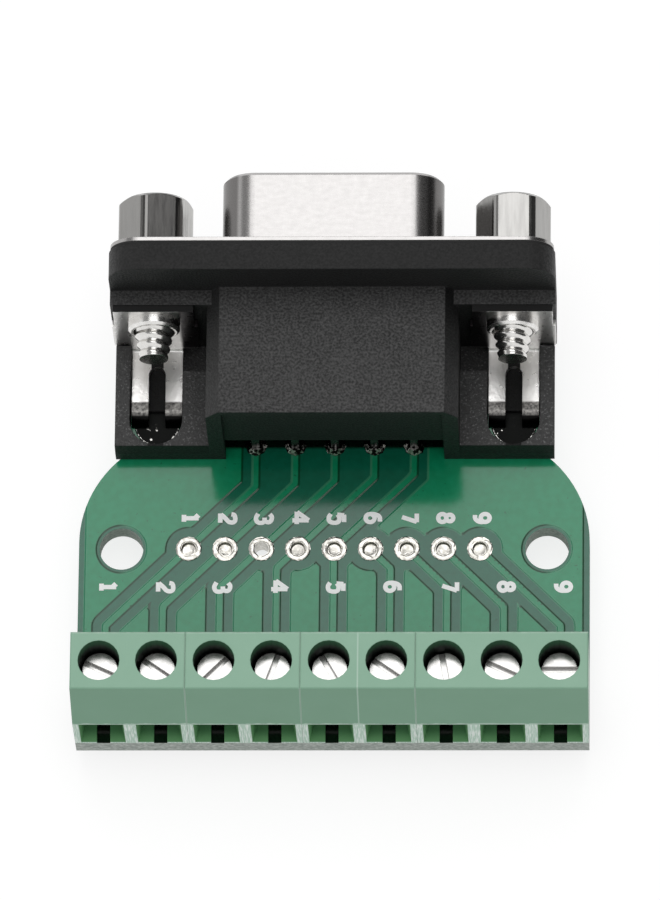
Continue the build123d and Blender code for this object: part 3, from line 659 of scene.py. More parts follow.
@dataclass(frozen=True)
class Solder:
    """Bright tin-lead solder, wetted smooth round the tails, and sunk round the board locks, where it is
    painted dark as shade with a painted bright arc and glints.
    """

    lock_x: float
    lock_y: float
    lock_reach: float = 2.1
    lock_fade: float = 0.1
    top_side_low_z: float = 0.5
    top_side_full_z: float = 0.8
    rim_radius: float = 1.5
    rim_half_width: float = 0.02
    rim_start: float = 0.2
    rim_full: float = -0.4
    rim_clearance: float = 0.1
    colour: str = "#dddcd9"
    dull: str = "#8c8a86"
    pocket_shade: str = "#0d100e"
    flux_spot: str = "#1c1d1b"
    beyond_rim: str = "#3f4b45"
    edge_radius: float = 0.05

    def material(self) -> Material:
        """Builds the finish.

        Returns:
            The material.
        """
        s = Shader("bright_solder")
        patch = s.noise(0.3, detail=3, contrast=1.8)
        above = s.ramp(s.axis("Z"), self.top_side_low_z * MM, self.top_side_full_z * MM)
        fluxed = s.ramp(s.noise(0.22, detail=2, contrast=1.8), 0.62, 0.45)
        tone = s.blend(s.all_of(fluxed, above), s.blend(patch, self.dull, self.colour), self.flux_spot)
        # Round a board lock the solder is sunk and painted black as shade, with a painted highlight arc, a
        # few painted glints, and greenish grey beyond the arc.
        across, along = s.beside(self.lock_x), s.reckon("SUBTRACT", s.axis("Y"), self.lock_y * MM)
        radius = s.reckon("SQRT", s.reckon("ADD", s.all_of(across, across), s.all_of(along, along)))
        rim = s.all_of(
            s.within(radius, self.rim_radius - self.rim_half_width, self.rim_radius + self.rim_half_width),
            s.ramp(along, self.rim_start * MM, self.rim_full * MM))
        beyond = s.all_of(s.within(radius, self.rim_radius + self.rim_clearance, FAR),
                          s.ramp(along, 0.0, self.rim_full * MM))
        glints = s.ramp(s.noise(0.45, detail=2, contrast=1.6), 0.72, 0.80)
        bright = s.any_of(s.all_of(glints, s.without(beyond)), rim)
        at_lock = s.ramp(across, -(self.lock_reach + self.lock_fade) * MM,
                         -(self.lock_reach - self.lock_fade) * MM)
        sunk = s.all_of(at_lock, above, s.without(bright))
        s.set(Base_Color=s.blend(sunk, tone, s.blend(beyond, self.pocket_shade, self.beyond_rim)))
        s.set(Metallic=s.blend(sunk, 1.0, 0.0), Roughness=s.blend(sunk, 0.16, 0.85))
        s.set(Normal=s.relief(s.noise(0.3, detail=3), 0.03, 0.6, s.soft_edges(self.edge_radius)))
        return s.material


@dataclass(frozen=True)
class BlackMoulding:
    """Glass-filled polyester from a spark-eroded mould: matt black-grey with a fine pebbled grain."""

    feet_top: float
    flange_top: float
    slit_x: float
    name: str = "black_moulding"
    slit_half_width: float = 0.55
    feet_margin: float = 0.3
    flange_depth: float = 0.6
    colour: str = "#464646"
    dark: str = "#040404"
    wall: str = "#0d0e0e"
    foot: str = "#333333"
    foot_speck: str = "#6a6a6a"
    flange: str = "#101010"
    slit: str = "#050505"
    grain_mm: float = 0.17
    roughness: float = 0.50
    edge_radius: float = 0.10

    def material(self) -> Material:
        """Builds the finish.

        Returns:
            The material.
        """
        s = Shader(self.name)
        grain = s.noise(self.grain_mm, detail=4, contrast=3.6)
        speck = s.ramp(s.noise(0.16, detail=2, contrast=1.6), 0.62, 0.8)
        blotch = s.noise(1.6, detail=3, contrast=1.4)
        # Painted light and shade: the pebbled tops are painted lighter, as they catch light on their grain,
        # and the walls, drawn from a polished mould, are painted near black.
        top = s.ramp(s.facing("Z"), 0.6, 0.9)
        feet = s.all_of(top, s.within(s.axis("Z"), -FAR, self.feet_top + self.feet_margin))
        flange = s.all_of(top, s.within(s.axis("Z"), self.flange_top - self.flange_depth, FAR))
        # Painted shade: under the bracket's slit the feet are painted near black.
        slit = s.all_of(s.within(s.beside(self.slit_x), -self.slit_half_width, self.slit_half_width), feet)
        share = s.reckon("ADD", s.all_of(grain, 0.7), s.all_of(blotch, 0.3))
        tone = s.blend(share, self.dark, self.colour)
        tone = s.blend(s.all_of(feet, 0.75), tone, s.blend(speck, self.foot, self.foot_speck))
        tone = s.blend(s.all_of(flange, 0.75), tone, self.flange)
        tone = s.blend(slit, tone, self.slit)
        s.set(Base_Color=s.blend(top, self.wall, tone), IOR=1.5, Specular_IOR_Level=0.5)
        rough = s.ramp(grain, 0.0, 1.0, self.roughness + 0.12, self.roughness)
        s.set(Roughness=s.blend(s.any_of(flange, slit), rough, 0.78))
        s.set(Normal=s.relief(grain, 0.035, 0.6, s.soft_edges(self.edge_radius)))
        return s.material


@dataclass(frozen=True)
class PrintInk:
    """Screen-printed white epoxy ink: flat, matt, very slightly grey at its edges."""

    colour: str = "#ffffff"
    thin: str = "#f6f8f7"

    def material(self) -> Material:
        """Builds the finish.

        Returns:
            The material.
        """
        s = Shader("white_print_ink")
        s.set(Base_Color=s.blend(s.noise(0.3, detail=2), self.thin, self.colour))
        s.set(Roughness=0.32, Normal=s.relief(s.noise(0.1, detail=2), 0.004, 0.5))
        return s.material


def new_object(name: str, mesh: bpy.types.Mesh) -> bpy.types.Object:
    """Puts a mesh, already in place, into the scene as an object at the origin."""
    piece = bpy.data.objects.new(name, mesh)
    bpy.context.scene.collection.objects.link(piece)
    return piece


def object_from(bm: EditMesh, name: str, material: Material) -> bpy.types.Object:
    """Turns an edited mesh into a dressed object at the origin, and frees it.

    Args:
        bm: The edited mesh.
        name: The object's name.
        material: Its finish.

    Returns:
        The object.
    """
    mesh = bpy.data.meshes.new(name)
    bm.to_mesh(mesh)
    bm.free()
    mesh.materials.append(material)
    return new_object(name, mesh)


def keep(piece: bpy.types.Object, replaced: Iterable[str] = ()) -> None:
    """Says that a piece rides on the adapter, and which nodes it stands for.

    Args:
        piece: The finished piece.
        replaced: The nodes that it stands for.
    """
    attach(piece, ROOT_BODY)
    names = list(replaced)
    if names:
        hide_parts(*names)
    LOG.info("%s rides on %s, %d faces", piece.name, ROOT_BODY, len(piece.data.polygons))


class NodeGroup:
    """A Geometry Nodes tree under construction, with named inputs, ending in one mesh output."""

    def __init__(self, name: str, **sizes: float) -> None:
        """Starts a tree.

        Args:
            name: The tree's name.
            **sizes: Named inputs and their values, in metres or plain numbers.
        """
        self.tree = bpy.data.node_groups.new(name, "GeometryNodeTree")
        self.tree.interface.new_socket("Geometry", in_out="OUTPUT", socket_type="NodeSocketGeometry")
        self.sizes = dict(sizes)
        self.identifiers: dict[str, str] = {}
        for size in sizes:
            socket = self.tree.interface.new_socket(size, in_out="INPUT", socket_type="NodeSocketFloat")
            self.identifiers[size] = socket.identifier
        self.inputs = self.tree.nodes.new("NodeGroupInput").outputs

    def add(self, kind: str, settings: dict[str, Any] | None = None, **inputs: Any) -> Socket:
        """Adds a node, as add_node does, and hands on its result.

        Args:
            kind: Blender's name of the node's type.
            settings: Property names and their values.
            **inputs: As in add_node.

        Returns:
            The first output that the node's settings leave in use.
        """
        node = add_node(self.tree, kind, settings, **inputs)
        return next(output for output in node.outputs if output.enabled)

    def build(self, geometry: Socket, name: str, material: Material) -> bpy.types.Object:
        """Runs the tree and keeps its result as a plain mesh object.

        Args:
            geometry: The geometry that the tree ends in.
            name: The piece's name.
            material: Its finish.

        Returns:
            The piece, at the origin, with no modifier.
        """
        real = self.add("GeometryNodeRealizeInstances", Geometry=geometry)
        dressed = self.add("GeometryNodeSetMaterial", Geometry=real, Material=material)
        self.tree.links.new(dressed, self.tree.nodes.new("NodeGroupOutput").inputs[0])
        carrier = new_object(name + "_carrier", bpy.data.meshes.new(name + "_carrier"))
        modifier = carrier.modifiers.new("build", "NODES")
        modifier.node_group = self.tree
        for size, value in self.sizes.items():
            modifier[self.identifiers[size]] = value
        bpy.context.view_layer.update()
        graph = bpy.context.evaluated_depsgraph_get()
        mesh = bpy.data.meshes.new_from_object(carrier.evaluated_get(graph))
        mesh.name = name
        bpy.data.objects.remove(carrier)
        return new_object(name, mesh)


@dataclass(frozen=True)
class Stroke:
    """One stroke of a printed numeral, drawn in a box 1 wide and 1.4 high, read from the board's side."""

    points: tuple[Point2, ...]
    rounded: bool = False
    closed: bool = False
    half_width: float = 0.16
    ink_thickness: float = 0.016
    layer_step: float = 0.25
    rounds: int = 3
    corner_cut: float = 0.25
    box: Point2 = (1.0, 1.4)

    def path(self) -> list[Vector]:
        """The stroke's middle line in the box, with its corners cut where it is a round one.

        Returns:
            The line's points.
        """
        path = [Vector(point) for point in self.points]
        shares = (self.corner_cut, 1 - self.corner_cut)
        for _ in range(self.rounds if self.rounded else 0):
            pairs = list(zip(path, path[1:] + path[:1] if self.closed else path[1:]))
            cut = [first.lerp(second, share) for first, second in pairs for share in shares]
            path = cut if self.closed else [path[0], *cut, path[-1]]
        return path

    def print_on(self, bm: EditMesh, place: Point2, top: float, height: float, layer: int) -> None:
        """Lays the stroke on the board as a thin ribbon of ink.

        Args:
            bm: The mesh that takes it.
            place: The numeral's middle, in millimetres.
            top: The board's upper face, in millimetres.
            height: The height of the numeral's middle lines, in millimetres.
            layer: How many strokes of the numeral were laid before, so that this one lies a little higher.
        """
        path = self.path()
        upper = self.ink_thickness * (1 + self.layer_step * layer)
        scale = height / self.box[1]
        sections = []
        for step, point in enumerate(path):
            before = path[step - 1] if step or self.closed else point
            after = path[(step + 1) % len(path)] if step < len(path) - 1 or self.closed else point
            along = (after - before).normalized()
            aside = Vector((-along.y, along.x)) * self.half_width / scale
            section = []
            for side, level in ((-1, 0.0), (1, 0.0), (1, upper), (-1, upper)):
                edge = point + side * aside
                x = place[0] + (edge.y - self.box[1] / 2) * scale
                y = place[1] - (edge.x - self.box[0] / 2) * scale
                section.append(bm.verts.new((x * MM, y * MM, (top + level) * MM)))
            sections.append(section)
        following = sections[1:] + sections[:1] if self.closed else sections[1:]
        faces = []
        for first, second in zip(sections, following):
            for corner in range(4):
                after = (corner + 1) % 4
                faces.append(bm.faces.new((first[corner], first[after], second[after], second[corner])))
        if not self.closed:
            faces += [bm.faces.new(sections[0]), bm.faces.new(sections[-1])]
        bmesh.ops.recalc_face_normals(bm, faces=faces)


def line(*points: Point2) -> Stroke:
    """A straight stroke through points of the numeral's box."""
    return Stroke(points)


def curve(*points: Point2) -> Stroke:
    """A round stroke whose corners are cut between points of the numeral's box."""
    return Stroke(points, rounded=True)


def oval(centre: Point2, reach: Point2, corners: int = 8) -> Stroke:
    """A closed round stroke.

    Args:
        centre: Its middle in the numeral's box.
        reach: How far its middle line reaches along each axis.
        corners: How many corners are cut to make it round.

    Returns:
        The stroke.
    """
    out = 1 / math.cos(math.pi / corners)
    turns = [2 * math.pi * corner / corners for corner in range(corners)]
    points = [(centre[0] + out * reach[0] * math.cos(turn), centre[1] + out * reach[1] * math.sin(turn))
              for turn in turns]
    return Stroke(tuple(points), rounded=True, closed=True)


DIGITS: dict[int, tuple[Stroke, ...]] = {
    1: (line((0.15, 1.05), (0.5, 1.4)), line((0.5, 1.4), (0.5, 0.0)), line((0.15, 0.0), (0.85, 0.0))),
    2: (curve((0.1, 1.05), (0.15, 1.4), (0.9, 1.45), (0.95, 0.85), (0.5, 0.5), (0.1, 0.05)),
        line((0.02, 0.0), (0.95, 0.0))),
    3: (curve((0.1, 1.25), (0.4, 1.5), (0.95, 1.3), (0.85, 0.78), (0.45, 0.75)),
        curve((0.45, 0.75), (0.95, 0.75), (1.0, 0.1), (0.5, -0.12), (0.05, 0.15))),
    4: (line((0.72, -0.05), (0.72, 1.5)), line((0.72, 1.5), (-0.12, 0.38)), line((-0.15, 0.36), (1.1, 0.36))),
    5: (line((0.9, 1.4), (0.15, 1.4)), line((0.22, 1.4), (0.15, 0.75)),
        curve((0.15, 0.8), (0.5, 1.0), (1.0, 0.85), (0.95, 0.05), (0.45, -0.1), (0.08, 0.15))),
    6: (curve((0.85, 1.35), (0.3, 1.35), (0.08, 0.8), (0.1, 0.42)), oval((0.5, 0.42), (0.4, 0.42))),
    7: (line((0.05, 1.4), (0.92, 1.4)), line((0.88, 1.4), (0.4, 0.0))),
    8: (oval((0.5, 1.07), (0.33, 0.33)), oval((0.5, 0.37), (0.4, 0.38))),
    9: (oval((0.5, 0.98), (0.4, 0.42)), curve((0.9, 0.98), (0.92, 0.4), (0.6, 0.02), (0.2, 0.02))),
}


@dataclass(frozen=True)
class Segment:
    """A straight run of a track, from one point of the board to another, in millimetres."""

    start: Point2
    end: Point2

    def distance(self, x: float, y: float) -> float:
        """How far a point lies from the run.

        Args:
            x: The point's place along the terminals.
            y: The point's place across them.

        Returns:
            The distance in millimetres.
        """
        ax, ay = self.start
        bx, by = self.end
        dx, dy = bx - ax, by - ay
        along = ((x - ax) * dx + (y - ay) * dy) / max(dx * dx + dy * dy, 1e-9)
        along = min(max(along, 0.0), 1.0)
        return math.hypot(x - ax - along * dx, y - ay - along * dy)


@dataclass
class CircuitBoard:
    """The green board: its copper pattern, tinned holes and printed numbers."""

    node: bpy.types.Object
    track_width: float = 0.5
    gap: float = 0.72
    pad_clear_radius: float = 1.6
    upper_row_y: float = 7.7
    lower_row_y: float = 10.54
    terminal_y: float = -9.4
    edge_margin: float = 0.45
    mount_x: float = 14.85
    mount_radius: float = 1.525
    mount_margin: float = 0.24
    grid_step: float = 0.25
    slope_step: float = 0.04
    merge_distance: float = 1e-6
    cut_tolerance: float = 1e-8
    pad_radius: float = 0.89
    hole_radius: float = 0.525
    number_height: float = 1.03
    number_shift: float = 0.15
    pad_number_y: float = 2.28
    terminal_number_y: float = -2.82
    top_routes: list[Segment] = field(default_factory=list)
    bottom_routes: list[Segment] = field(default_factory=list)

    def __post_init__(self) -> None:
        """Lays the tracks: straight from a tail, then at 45 degrees to its pad, and on to its terminal."""
        low, high = box_mm("board")
        self.top = high.z
        self.width = high.x - low.x
        for pole in range(POLE_COUNT):
            pad_x, terminal_x = pole_x(pole, PAD_PITCH), pole_x(pole, POLE_PITCH)
            turn = (terminal_x, -abs(terminal_x - pad_x))
            self.top_routes += [Segment((pad_x, 0.0), turn), Segment(turn, (terminal_x, self.terminal_y))]
            on_top = pole < TOP_TAILS
            tail_x = self.tail_x(pole)
            bend = (tail_x, abs(tail_x - pad_x))
            row_y = self.upper_row_y if on_top else self.lower_row_y
            routes = self.top_routes if on_top else self.bottom_routes
            routes += [Segment((tail_x, row_y), bend), Segment(bend, (pad_x, 0.0))]

    @staticmethod
    def tail_x(pole: int) -> float:
        """Where a tail of the socket stands in its own row, in millimetres."""
        middle = (TOP_TAILS - 1) / 2 if pole < TOP_TAILS else (TOP_TAILS + POLE_COUNT - 1) / 2
        return (pole - middle) * TAIL_PITCH

    def pattern(self, x: float, y: float, top: bool) -> Point2:
        """How deep a point lies in the copper pattern.

        Args:
            x: Place along the terminals, in millimetres.
            y: Place across them, in millimetres.
            top: Whether the point is on the board's top.

        Returns:
            The distance outside the nearest track's edge, and the distance inside the poured copper.
        """
        routes = self.top_routes if top else self.bottom_routes
        to_track = min(route.distance(x, y) for route in routes) - self.track_width / 2
        to_pad = min(math.hypot(x - pole_x(pole, PAD_PITCH), y) for pole in range(POLE_COUNT))
        pour = min(to_track - self.gap, to_pad - self.pad_clear_radius)
        if top:
            pour = min(pour, self.outside_fan(x, y))
        to_mount = math.hypot(abs(x) - self.mount_x, y) - self.mount_radius - self.mount_margin
        to_side = self.width / 2 - self.edge_margin - abs(x)
        return to_track, min(pour, to_mount, to_side)

    def outside_fan(self, x: float, y: float) -> float:
        """How far a point lies outside the fan of top tracks that holds no poured copper.

        Args:
            x: Place along the terminals, in millimetres.
            y: Place across them, in millimetres.

        Returns:
            The distance in millimetres, negative inside the fan.
        """
        reach = self.track_width / 2 + self.gap
        left, right = self.tail_x(0), self.tail_x(TOP_TAILS - 1)
        left_bend = left - pole_x(0, PAD_PITCH)
        right_bend = right - pole_x(TOP_TAILS - 1, PAD_PITCH)
        slant = 0.5**0.5
        beyond_left, beyond_right = left - reach - x, x - right - reach
        if y < left_bend + reach:
            beyond_left = max(beyond_left, ((left - x) + (y - left_bend)) * slant - reach)
        if y < right_bend:
            beyond_right = max(beyond_right, ((x - right) - (y - right_bend)) * slant - reach)
        return max(beyond_left, beyond_right, -y)

    def build(self, mask: Material) -> None:
        """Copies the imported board, divides its faces into a fine net and writes the copper pattern on it.

        Args:
            mask: The solder mask's finish.
        """
        bm = bmesh.new()
        bm.from_mesh(self.node.data)
        bmesh.ops.remove_doubles(bm, verts=bm.verts, dist=self.merge_distance)
        low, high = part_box("board")
        for axis, normal in enumerate((Vector((1, 0, 0)), Vector((0, 1, 0)))):
            start, end = low[axis], high[axis]
            count = int((end - start) / MM / self.grid_step)
            for step in range(1, count):
                place = normal * (start + (end - start) * step / count)
                geometry = bm.verts[:] + bm.edges[:] + bm.faces[:]
                bmesh.ops.bisect_plane(bm, geom=geometry, plane_co=place, plane_no=normal,
                                       dist=self.cut_tolerance)
        layers = {layer: bm.verts.layers.float.new(layer.value) for layer in BoardLayer}
        for vertex in bm.verts:
            x, y = vertex.co.x / MM, vertex.co.y / MM
            top = vertex.co.z > (low.z + high.z) / 2
            track, pour = self.pattern(x, y, top)
            ahead_track, ahead_pour = self.pattern(x + self.slope_step, y, top)
            rise = (ahead_pour - pour) if abs(pour) < abs(track) else (track - ahead_track)
            vertex[layers[BoardLayer.TRACK]] = track
            vertex[layers[BoardLayer.POUR]] = pour
            vertex[layers[BoardLayer.FACING]] = rise / self.slope_step
        for face in bm.faces:
            face.smooth = False
        keep(object_from(bm, "circuit_board", mask), ["board"])

    def print_numbers(self, ink: Material) -> None:
        """Prints 1 to 9 beside the tinned holes and again at the terminals, read from the board's side.

        Args:
            ink: The ink's finish.
        """
        bm = bmesh.new()
        for pitch, y in ((PAD_PITCH, self.pad_number_y), (POLE_PITCH, self.terminal_number_y)):
            for pole in range(POLE_COUNT):
                place = (pole_x(pole, pitch) + self.number_shift, y)
                for layer, stroke in enumerate(DIGITS[pole + 1]):
                    stroke.print_on(bm, place, self.top, self.number_height, layer)
        keep(object_from(bm, "printed_numbers", ink))


@dataclass(frozen=True)
class TurnedRow:
    """One row of a turned part: where it lies on the axis, its radius, and whether the hexagon cuts it."""

    y: float
    radius: float
    hexed: bool = False


@dataclass
class Jackscrew:
    """A hexagonal standoff milled from bar, with a turned crown, a tapped end and a threaded shank."""

    side: str
    turn: float
    reflections: Point3
    shank_reflection: float = 2.5
    front_reach: float = 0.15
    flange_thickness: float = 0.5
    across_flats: float = 4.76
    corner_radius: float = 2.62
    front_radius: float = 2.28
    crown_depth: float = 0.26
    crown_steps: int = 6
    crown_start: float = 0.01
    tapped_radius: float = 1.13
    tapped_depth: float = 4.2
    sink: float = 0.22
    shank_radius: float = 1.41
    tip_radius: float = 1.0
    closing_radius: float = 0.01
    pitch: float = 0.635
    thread_depth: float = 0.24
    thread_flank: float = 0.42
    taper_start: float = 0.35
    thread_run_in: float = 6.0
    segments: int = 96
    rows_per_turn: int = 12

    def __post_init__(self) -> None:
        """Finds the axis in the middle of the collar that the shank goes through."""
        collar_low, self.collar_high = box_mm(f"threaded_insert_{self.side}")
        self.axis = (collar_low + self.collar_high) / 2

    def build(self, metal: Material) -> None:
        """Turns and mills the standoff in rows of points from its tapped end to its free tip.

        Args:
            metal: The plated finish.
        """
        low, high = box_mm(f"jackscrew_{self.side}")
        front = high.y + self.front_reach
        bearing_y = box_mm("socket_shell")[0].y + self.flange_thickness
        tapped = [TurnedRow(front - self.tapped_depth, self.closing_radius),
                  TurnedRow(front - self.tapped_depth, self.tapped_radius),
                  TurnedRow(front - self.sink, self.tapped_radius),
                  TurnedRow(front, self.tapped_radius + self.sink), TurnedRow(front, self.front_radius)]
        shares = [step / self.crown_steps for step in range(self.crown_steps + 1)]
        spread = self.corner_radius - self.front_radius
        crown = [TurnedRow(front - self.crown_start - self.crown_depth * share,
                           self.front_radius + spread * share, hexed=True) for share in shares]
        rear = [TurnedRow(bearing_y, self.corner_radius, hexed=True), TurnedRow(bearing_y, self.shank_radius)]
        bm = bmesh.new()
        reflection_layer = bm.faces.layers.float.new(FLAT_REFLECTION)
        rings = [self.ring(bm, row) for row in tapped + crown + rear]
        first_flat, last_flat = len(tapped), len(rings) - 2
        rings.append(self.ring(bm, TurnedRow(self.collar_high.y, self.shank_radius)))
        plain = len(rings)
        rings += self.thread_rings(bm, self.collar_high.y, low.y)
        rings.append(self.ring(bm, TurnedRow(low.y, self.closing_radius)))
        # Painted reflection: three of the flats face up, and each has its own brightness painted into its
        # colour; the shank is painted brighter too.
        flat_reflections = {1: self.reflections[0], 0: self.reflections[1], 5: self.reflections[2]}
        for place, (first, second) in enumerate(zip(rings, rings[1:])):
            for step in range(self.segments):
                after = (step + 1) % self.segments
                face = bm.faces.new((first[step], first[after], second[after], second[step]))
                face.smooth = plain <= place < len(rings) - 2
                flat = round(6 * (step + 0.5) / self.segments) % 6
                face[reflection_layer] = 1.0 if place < last_flat else self.shank_reflection
                if first_flat <= place < last_flat and flat in flat_reflections:
                    face[reflection_layer] = flat_reflections[flat]
        bmesh.ops.recalc_face_normals(bm, faces=bm.faces)
        piece = object_from(bm, f"jackscrew_{self.side}_threaded", metal)
        keep(piece, [f"jackscrew_{self.side}"])

    def point(self, bm: EditMesh, y: float, reach: float, heading: float) -> Vert:
        """Adds a point at a reach in millimetres from the axis, in the direction of a heading in radians."""
        around = Vector((reach * math.cos(heading), 0, reach * math.sin(heading)))
        return bm.verts.new((Vector((self.axis.x, y, self.axis.z)) + around) * MM)

    def ring(self, bm: EditMesh, row: TurnedRow) -> list[Vert]:
        """Adds one ring of points round the axis.

        Args:
            bm: The mesh.
            row: Where the ring lies and how wide it is.

        Returns:
            The ring's points.
        """
        ring = []
        for step in range(self.segments):
            angle = 2 * math.pi * step / self.segments
            from_flat = (angle + math.pi / 6) % (math.pi / 3) - math.pi / 6
            flat_reach = self.across_flats / 2 / math.cos(from_flat)
            reach = min(row.radius, flat_reach) if row.hexed else row.radius
            ring.append(self.point(bm, row.y, reach, angle + math.pi / 2 + math.radians(self.turn)))
        return ring

    def thread_rings(self, bm: EditMesh, start: float, end: float) -> list[list[Vert]]:
        """Adds rings whose crests climb round the shank as a helix and taper to the tip.

        Args:
            bm: The mesh.
            start: Where the thread begins, in millimetres.
            end: Where the tip is, in millimetres.

        Returns:
            The rings.
        """
        count = int((start - end) / self.pitch * self.rows_per_turn)
        rings = []
        for row in range(1, count + 1):
            along = row / count
            y = start - (start - end) * along
            taper = max(0.0, along - self.taper_start) / (1 - self.taper_start)
            crest = self.shank_radius + (self.tip_radius - self.shank_radius) * taper
            run_in = min(1.0, self.thread_run_in * along, self.thread_run_in * (1 - along))
            ring = []
            for step in range(self.segments):
                angle = 2 * math.pi * step / self.segments
                phase = ((start - y) / self.pitch + angle / (2 * math.pi)) % 1.0
                groove = max(0.0, 1 - abs(phase - 0.5) / self.thread_flank) * run_in
                ring.append(self.point(bm, y, crest - self.thread_depth * groove, angle))
            rings.append(ring)
        return rings


@dataclass
class TinnedHoles:
    """Raised rings of tin round the nine holes, and the solder that has run into all of them but one."""

    board: CircuitBoard
    open_hole: int = 2
    ring_lift: float = 0.04
    ring_crown: float = 0.2
    ring_sides: int = 48
    bead_sides: int = 12
    turn_seed: int = 7
    ripple_scale: float = 2200.0
    ripple_height: float = 0.12
    dish_depth: float = 0.26
    dish_thickness: float = 0.5
    dish_climb: float = 0.05
    dish_lean: float = 0.035
    lean_turn: float = 2.4
    dish_rings: int = 4
    dish_sides: int = 24

    def build(self, tin: Material) -> None:
        """Makes the nine rings with a tree that puts a ring at each hole and ripples it.

        Args:
            tin: The tin's finish.
        """
        board = self.board
        group = NodeGroup("tinned_rings", **{
            "Ring radius": (board.pad_radius + board.hole_radius) / 2 * MM,
            "Ring half width": (board.pad_radius - board.hole_radius) / 2 * MM,
            "Pitch": PAD_PITCH * MM,
            "Height": (board.top + self.ring_lift) * MM,
            "Crown": self.ring_crown,
        })
        size = group.inputs
        path = group.add("GeometryNodeCurvePrimitiveCircle", Resolution=self.ring_sides,
                         Radius=size["Ring radius"])
        bead = group.add("GeometryNodeCurvePrimitiveCircle", Resolution=self.bead_sides,
                         Radius=size["Ring half width"])
        ring = group.add("GeometryNodeCurveToMesh", Curve=path, Profile_Curve=bead)
        squash = group.add("ShaderNodeCombineXYZ", X=1.0, Y=1.0, Z=size["Crown"])
        flat = group.add("GeometryNodeTransform", Geometry=ring, Scale=squash)
        first_x = group.add("ShaderNodeMath", {"operation": "MULTIPLY"}, i0=size["Pitch"],
                            i1=-(POLE_COUNT - 1) / 2)
        start = group.add("ShaderNodeCombineXYZ", X=first_x, Z=size["Height"])
        stride = group.add("ShaderNodeCombineXYZ", X=size["Pitch"])
        row = group.add("GeometryNodeMeshLine", {"mode": "OFFSET"}, Count=POLE_COUNT, Start_Location=start,
                        Offset=stride)
        turn = group.add("FunctionNodeRandomValue", {"data_type": "FLOAT_VECTOR"}, i0=(0, 0, 0),
                         i1=(0, 0, 2 * math.pi), Seed=self.turn_seed)
        rings = group.add("GeometryNodeInstanceOnPoints", Points=row, Instance=flat, Rotation=turn)
        real = group.add("GeometryNodeRealizeInstances", Geometry=rings)
        noise = group.add("ShaderNodeTexNoise", Vector=group.add("GeometryNodeInputPosition"),
                          Scale=self.ripple_scale, Detail=2.0)
        centred = group.add("ShaderNodeMath", {"operation": "SUBTRACT"}, i0=noise, i1=0.5)
        lift = group.add("ShaderNodeMath", {"operation": "MULTIPLY"}, i0=centred, i1=self.ripple_height * MM)
        offset = group.add("ShaderNodeCombineXYZ", X=lift, Y=lift, Z=lift)
        rippled = group.add("GeometryNodeSetPosition", Geometry=real, Offset=offset)
        smooth = group.add("GeometryNodeSetShadeSmooth", Geometry=rippled)
        keep(group.build(smooth, "tinned_rings", tin))

    def fill(self, tin: Material) -> None:
        """Fills all holes but the open one with dished solder, each leaning its own way.

        Args:
            tin: The finish of the tin that has run in.
        """
        bm = bmesh.new()
        for pole in range(POLE_COUNT):
            if pole == self.open_hole:
                continue
            upper, lower = (self.dish(bm, pole, under) for under in (0.0, self.dish_thickness))
            for circles in (upper, lower):
                for inner, outer in zip(circles, circles[1:]):
                    self.band(bm, inner, outer, smooth=True)
            self.band(bm, upper[-1], lower[-1], smooth=False)
        bmesh.ops.recalc_face_normals(bm, faces=bm.faces)
        keep(object_from(bm, "hole_solder", tin))

    def dish(self, bm: EditMesh, pole: int, under: float) -> list[list[Vert]]:
        """Adds the circles of points of a dish that climbs to the hole's wall.

        Args:
            bm: The mesh.
            pole: The hole's number, from zero.
            under: How far the dish lies under the solder's face, in millimetres.

        Returns:
            The circles, from the middle outwards.
        """
        x = pole_x(pole, PAD_PITCH)
        lean = self.dish_lean * math.cos(pole * self.lean_turn)
        floor = self.board.top - self.dish_depth - under
        circles = [[bm.verts.new((x * MM, 0, floor * MM))] * self.dish_sides]
        for step in range(1, self.dish_rings + 1):
            share = step / self.dish_rings
            reach = self.board.hole_radius * share
            circle = []
            for side in range(self.dish_sides):
                turn = 2 * math.pi * side / self.dish_sides
                tilt = lean * math.cos(turn) - self.dish_lean * math.sin(turn)
                height = floor + self.dish_climb * share**2 + share * tilt
                place = Vector((x + reach * math.cos(turn), reach * math.sin(turn), height))
                circle.append(bm.verts.new(place * MM))
            circles.append(circle)
        return circles

    @staticmethod
    def band(bm: EditMesh, first: list[Vert], second: list[Vert],
             smooth: bool) -> None:
        """Closes the band between two circles of points.

        Args:
            bm: The mesh.
            first: One circle, which may be one point repeated.
            second: The other circle.
            smooth: Whether the band is shaded smooth.
        """
        for side in range(len(first)):
            after = (side + 1) % len(first)
            corners = dict.fromkeys((first[side], second[side], second[after], first[after]))
            bm.faces.new(list(corners)).smooth = smooth


